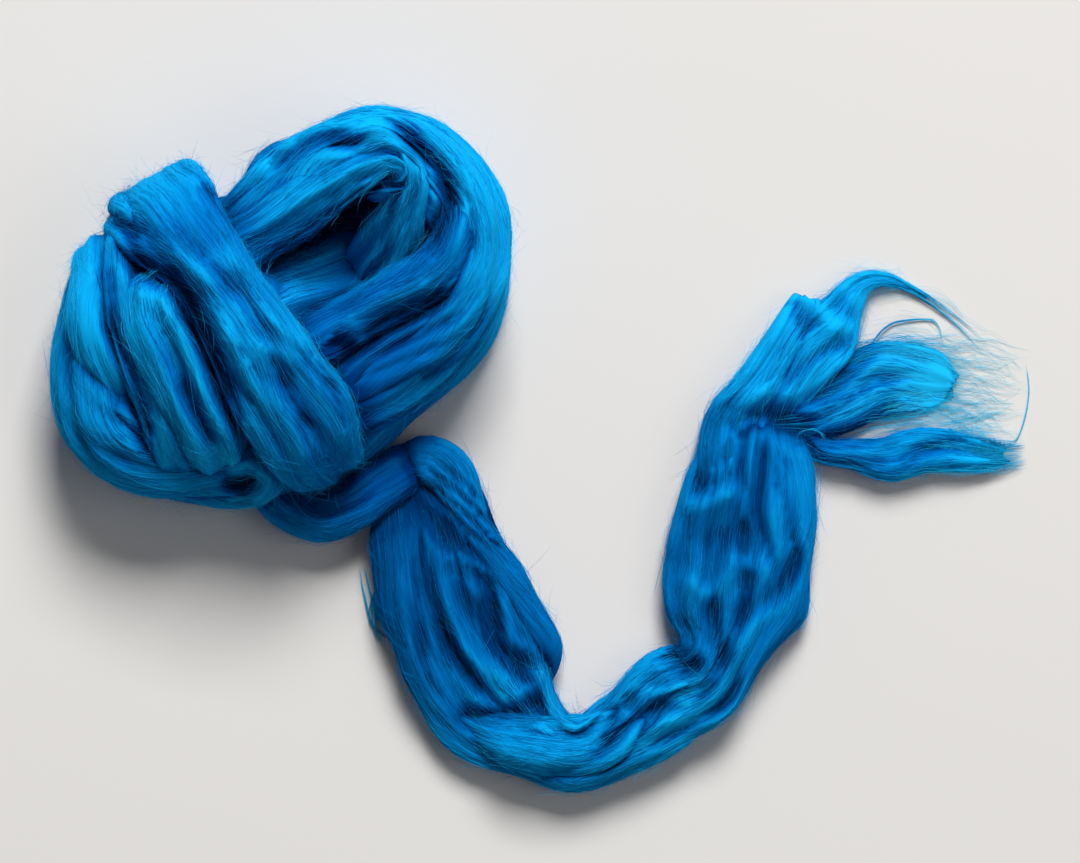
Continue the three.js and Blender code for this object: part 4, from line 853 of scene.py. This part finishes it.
# Bands of all three parts
for n, (x, y, z, rx, ry, rz) in enumerate(PADDING):
    across = [(u, (1 - u * u) ** 0.5) for u in np.linspace(-0.98, 0.98, 9)]
    TURNS["padding_%d" % n] = dict(
        pleats=3, depth=0.04, rows=[(x + rx * u, y, z, 2 * ry * w, 2 * rz * w) for u, w in across])
tail_band = Band(TAIL, 40, fold=1.7, height=0.5, crimp=0.7, creases=TAIL_CREASES)
fold_bands = [
    Band(table, 50 + 7 * n, table["fold"], height=0.5, crimp=0.5, creases=FOLD_CREASES)
    for n, table in enumerate(TAIL_FOLDS.values())]
ball_bands = {
    name: Band(table, 100 + 9 * n, table.get("fold", 1.7), height=0.55, crimp=0.45, creases=BALL_CREASES)
    for n, (name, table) in enumerate(TURNS.items())}
end_bands = [
    Band(table, 700 + 9 * n, table.get("fold", 1.5), height=0.5, crimp=0.4, creases=END_CREASES)
    for n, table in enumerate(FRAYED.values())]
all_bands = [tail_band, *fold_bands, *ball_bands.values(), *end_bands]
everything = Soup()
for band in all_bands:
    everything.add_band(band, 0)
tree = everything.tree()
for band in all_bands:
    band.shade(tree)

# The loose tail
tail_soup, fold_soup, tail_hair, tail_fuzz = Soup(), Soup(), Soup(), Soup()
tail_soup.add_band(tail_band, 40)
tail = tail_soup.piece("tail_body", "tail_roving", "roving")
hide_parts("loose_tail")
for n, band in enumerate(fold_bands):
    fold_soup.add_band(band, 50 + n)
tail_folds = fold_soup.piece("tail_folds", "tail_roving", "roving")
for n, band in enumerate([tail_band, *fold_bands]):
    dress(band, tree, tail_hair, tail_fuzz, (300 + n, 350 + n, 370 + n))
tail_fibres = tail_hair.piece("tail_fibres", "tail_fibre", "roving")
tail_haze = tail_fuzz.piece("tail_haze", "fuzz", "roving")

# The wound ball
turn_soups = {"left": Soup(), "right": Soup()}
hair_soups = {"left": Soup(), "right": Soup()}
haze = Soup()
for n, (name, band) in enumerate(ball_bands.items()):
    side = "left" if name in LEFT_LOBE else "right"
    turn_soups[side].add_band(band, n)
    cover = TURNS[name].get("cover", 1)
    dress(band, tree, hair_soups[side], haze, (400 + n, 450 + n, 480 + n), cover=cover)
turns = [soup.piece("ball_turns_" + side, "roving", "roving") for side, soup in turn_soups.items()]
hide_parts("wound_ball")
for side, soup in hair_soups.items():
    soup.piece("ball_fibres_" + side, "fibre", "roving")
haze.piece("ball_haze", "fuzz", "roving")

# The frayed end
end_soup, sheet_soup, end_hair, end_fuzz = Soup(), Soup(), Soup(), Soup()
for n, (name, band) in enumerate(zip(FRAYED, end_bands)):
    (sheet_soup if name == "middle_sheet" else end_soup).add_band(band, 70 + n)
    dress(band, tree, end_hair, end_fuzz, (800 + n, 850 + n, 870 + n), "laid_end", "rim_end")
end = end_soup.piece("frayed_body", "roving", "frayed_roving")
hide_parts("frayed_end")
sheet_soup.piece("frayed_sheet", "sheet", "frayed_roving")
end_hair.piece("frayed_fibres", "fibre", "frayed_roving")
end_fuzz.piece("frayed_haze", "fuzz", "frayed_roving")
lock_soup, wisp_soup = Soup(), Soup()
for n, table in enumerate(SPRAYS.values()):
    spray(lock_soup if table["radius"] >= LOCK_RADIUS else wisp_soup, table, 900 + 5 * n)
lock_soup.piece("frayed_locks", "thin", "frayed_roving")
wisp_soup.piece("frayed_wisps", "wisp", "frayed_roving")

# Floor, light and background
floor_mesh = bpy.data.meshes.new("floor")
floor_mesh.from_pydata([(-4, -4, 0), (4, -4, 0), (4, 4, 0), (-4, 4, 0)], [], [(0, 1, 2, 3)])
floor = bpy.data.objects.new("floor", floor_mesh)
bpy.context.collection.objects.link(floor)
paper = bpy.data.materials.new("floor")
paper.use_nodes = True
surface = paper.node_tree.nodes["Principled BSDF"].inputs
surface["Base Color"].default_value = (0.70, 0.68, 0.655, 1)
surface["Roughness"].default_value = 0.9
floor_mesh.materials.append(paper)

for name, (place, size, power) in LIGHTS.items():
    light = bpy.data.objects.new(name, bpy.data.lights.new(name, "AREA"))
    light.data.energy = power
    light.data.size = size
    light.location = place
    light.rotation_euler = (-Vector(place)).to_track_quat("-Z", "Y").to_euler()
    bpy.context.collection.objects.link(light)
world = bpy.data.worlds.new("world")
world.use_nodes = True
sky = world.node_tree.nodes["Background"].inputs
sky["Color"].default_value = (0.95, 0.97, 1.0, 1)
sky["Strength"].default_value = 0.13
bpy.context.scene.world = world
bpy.context.scene.view_settings.view_transform = "Standard"
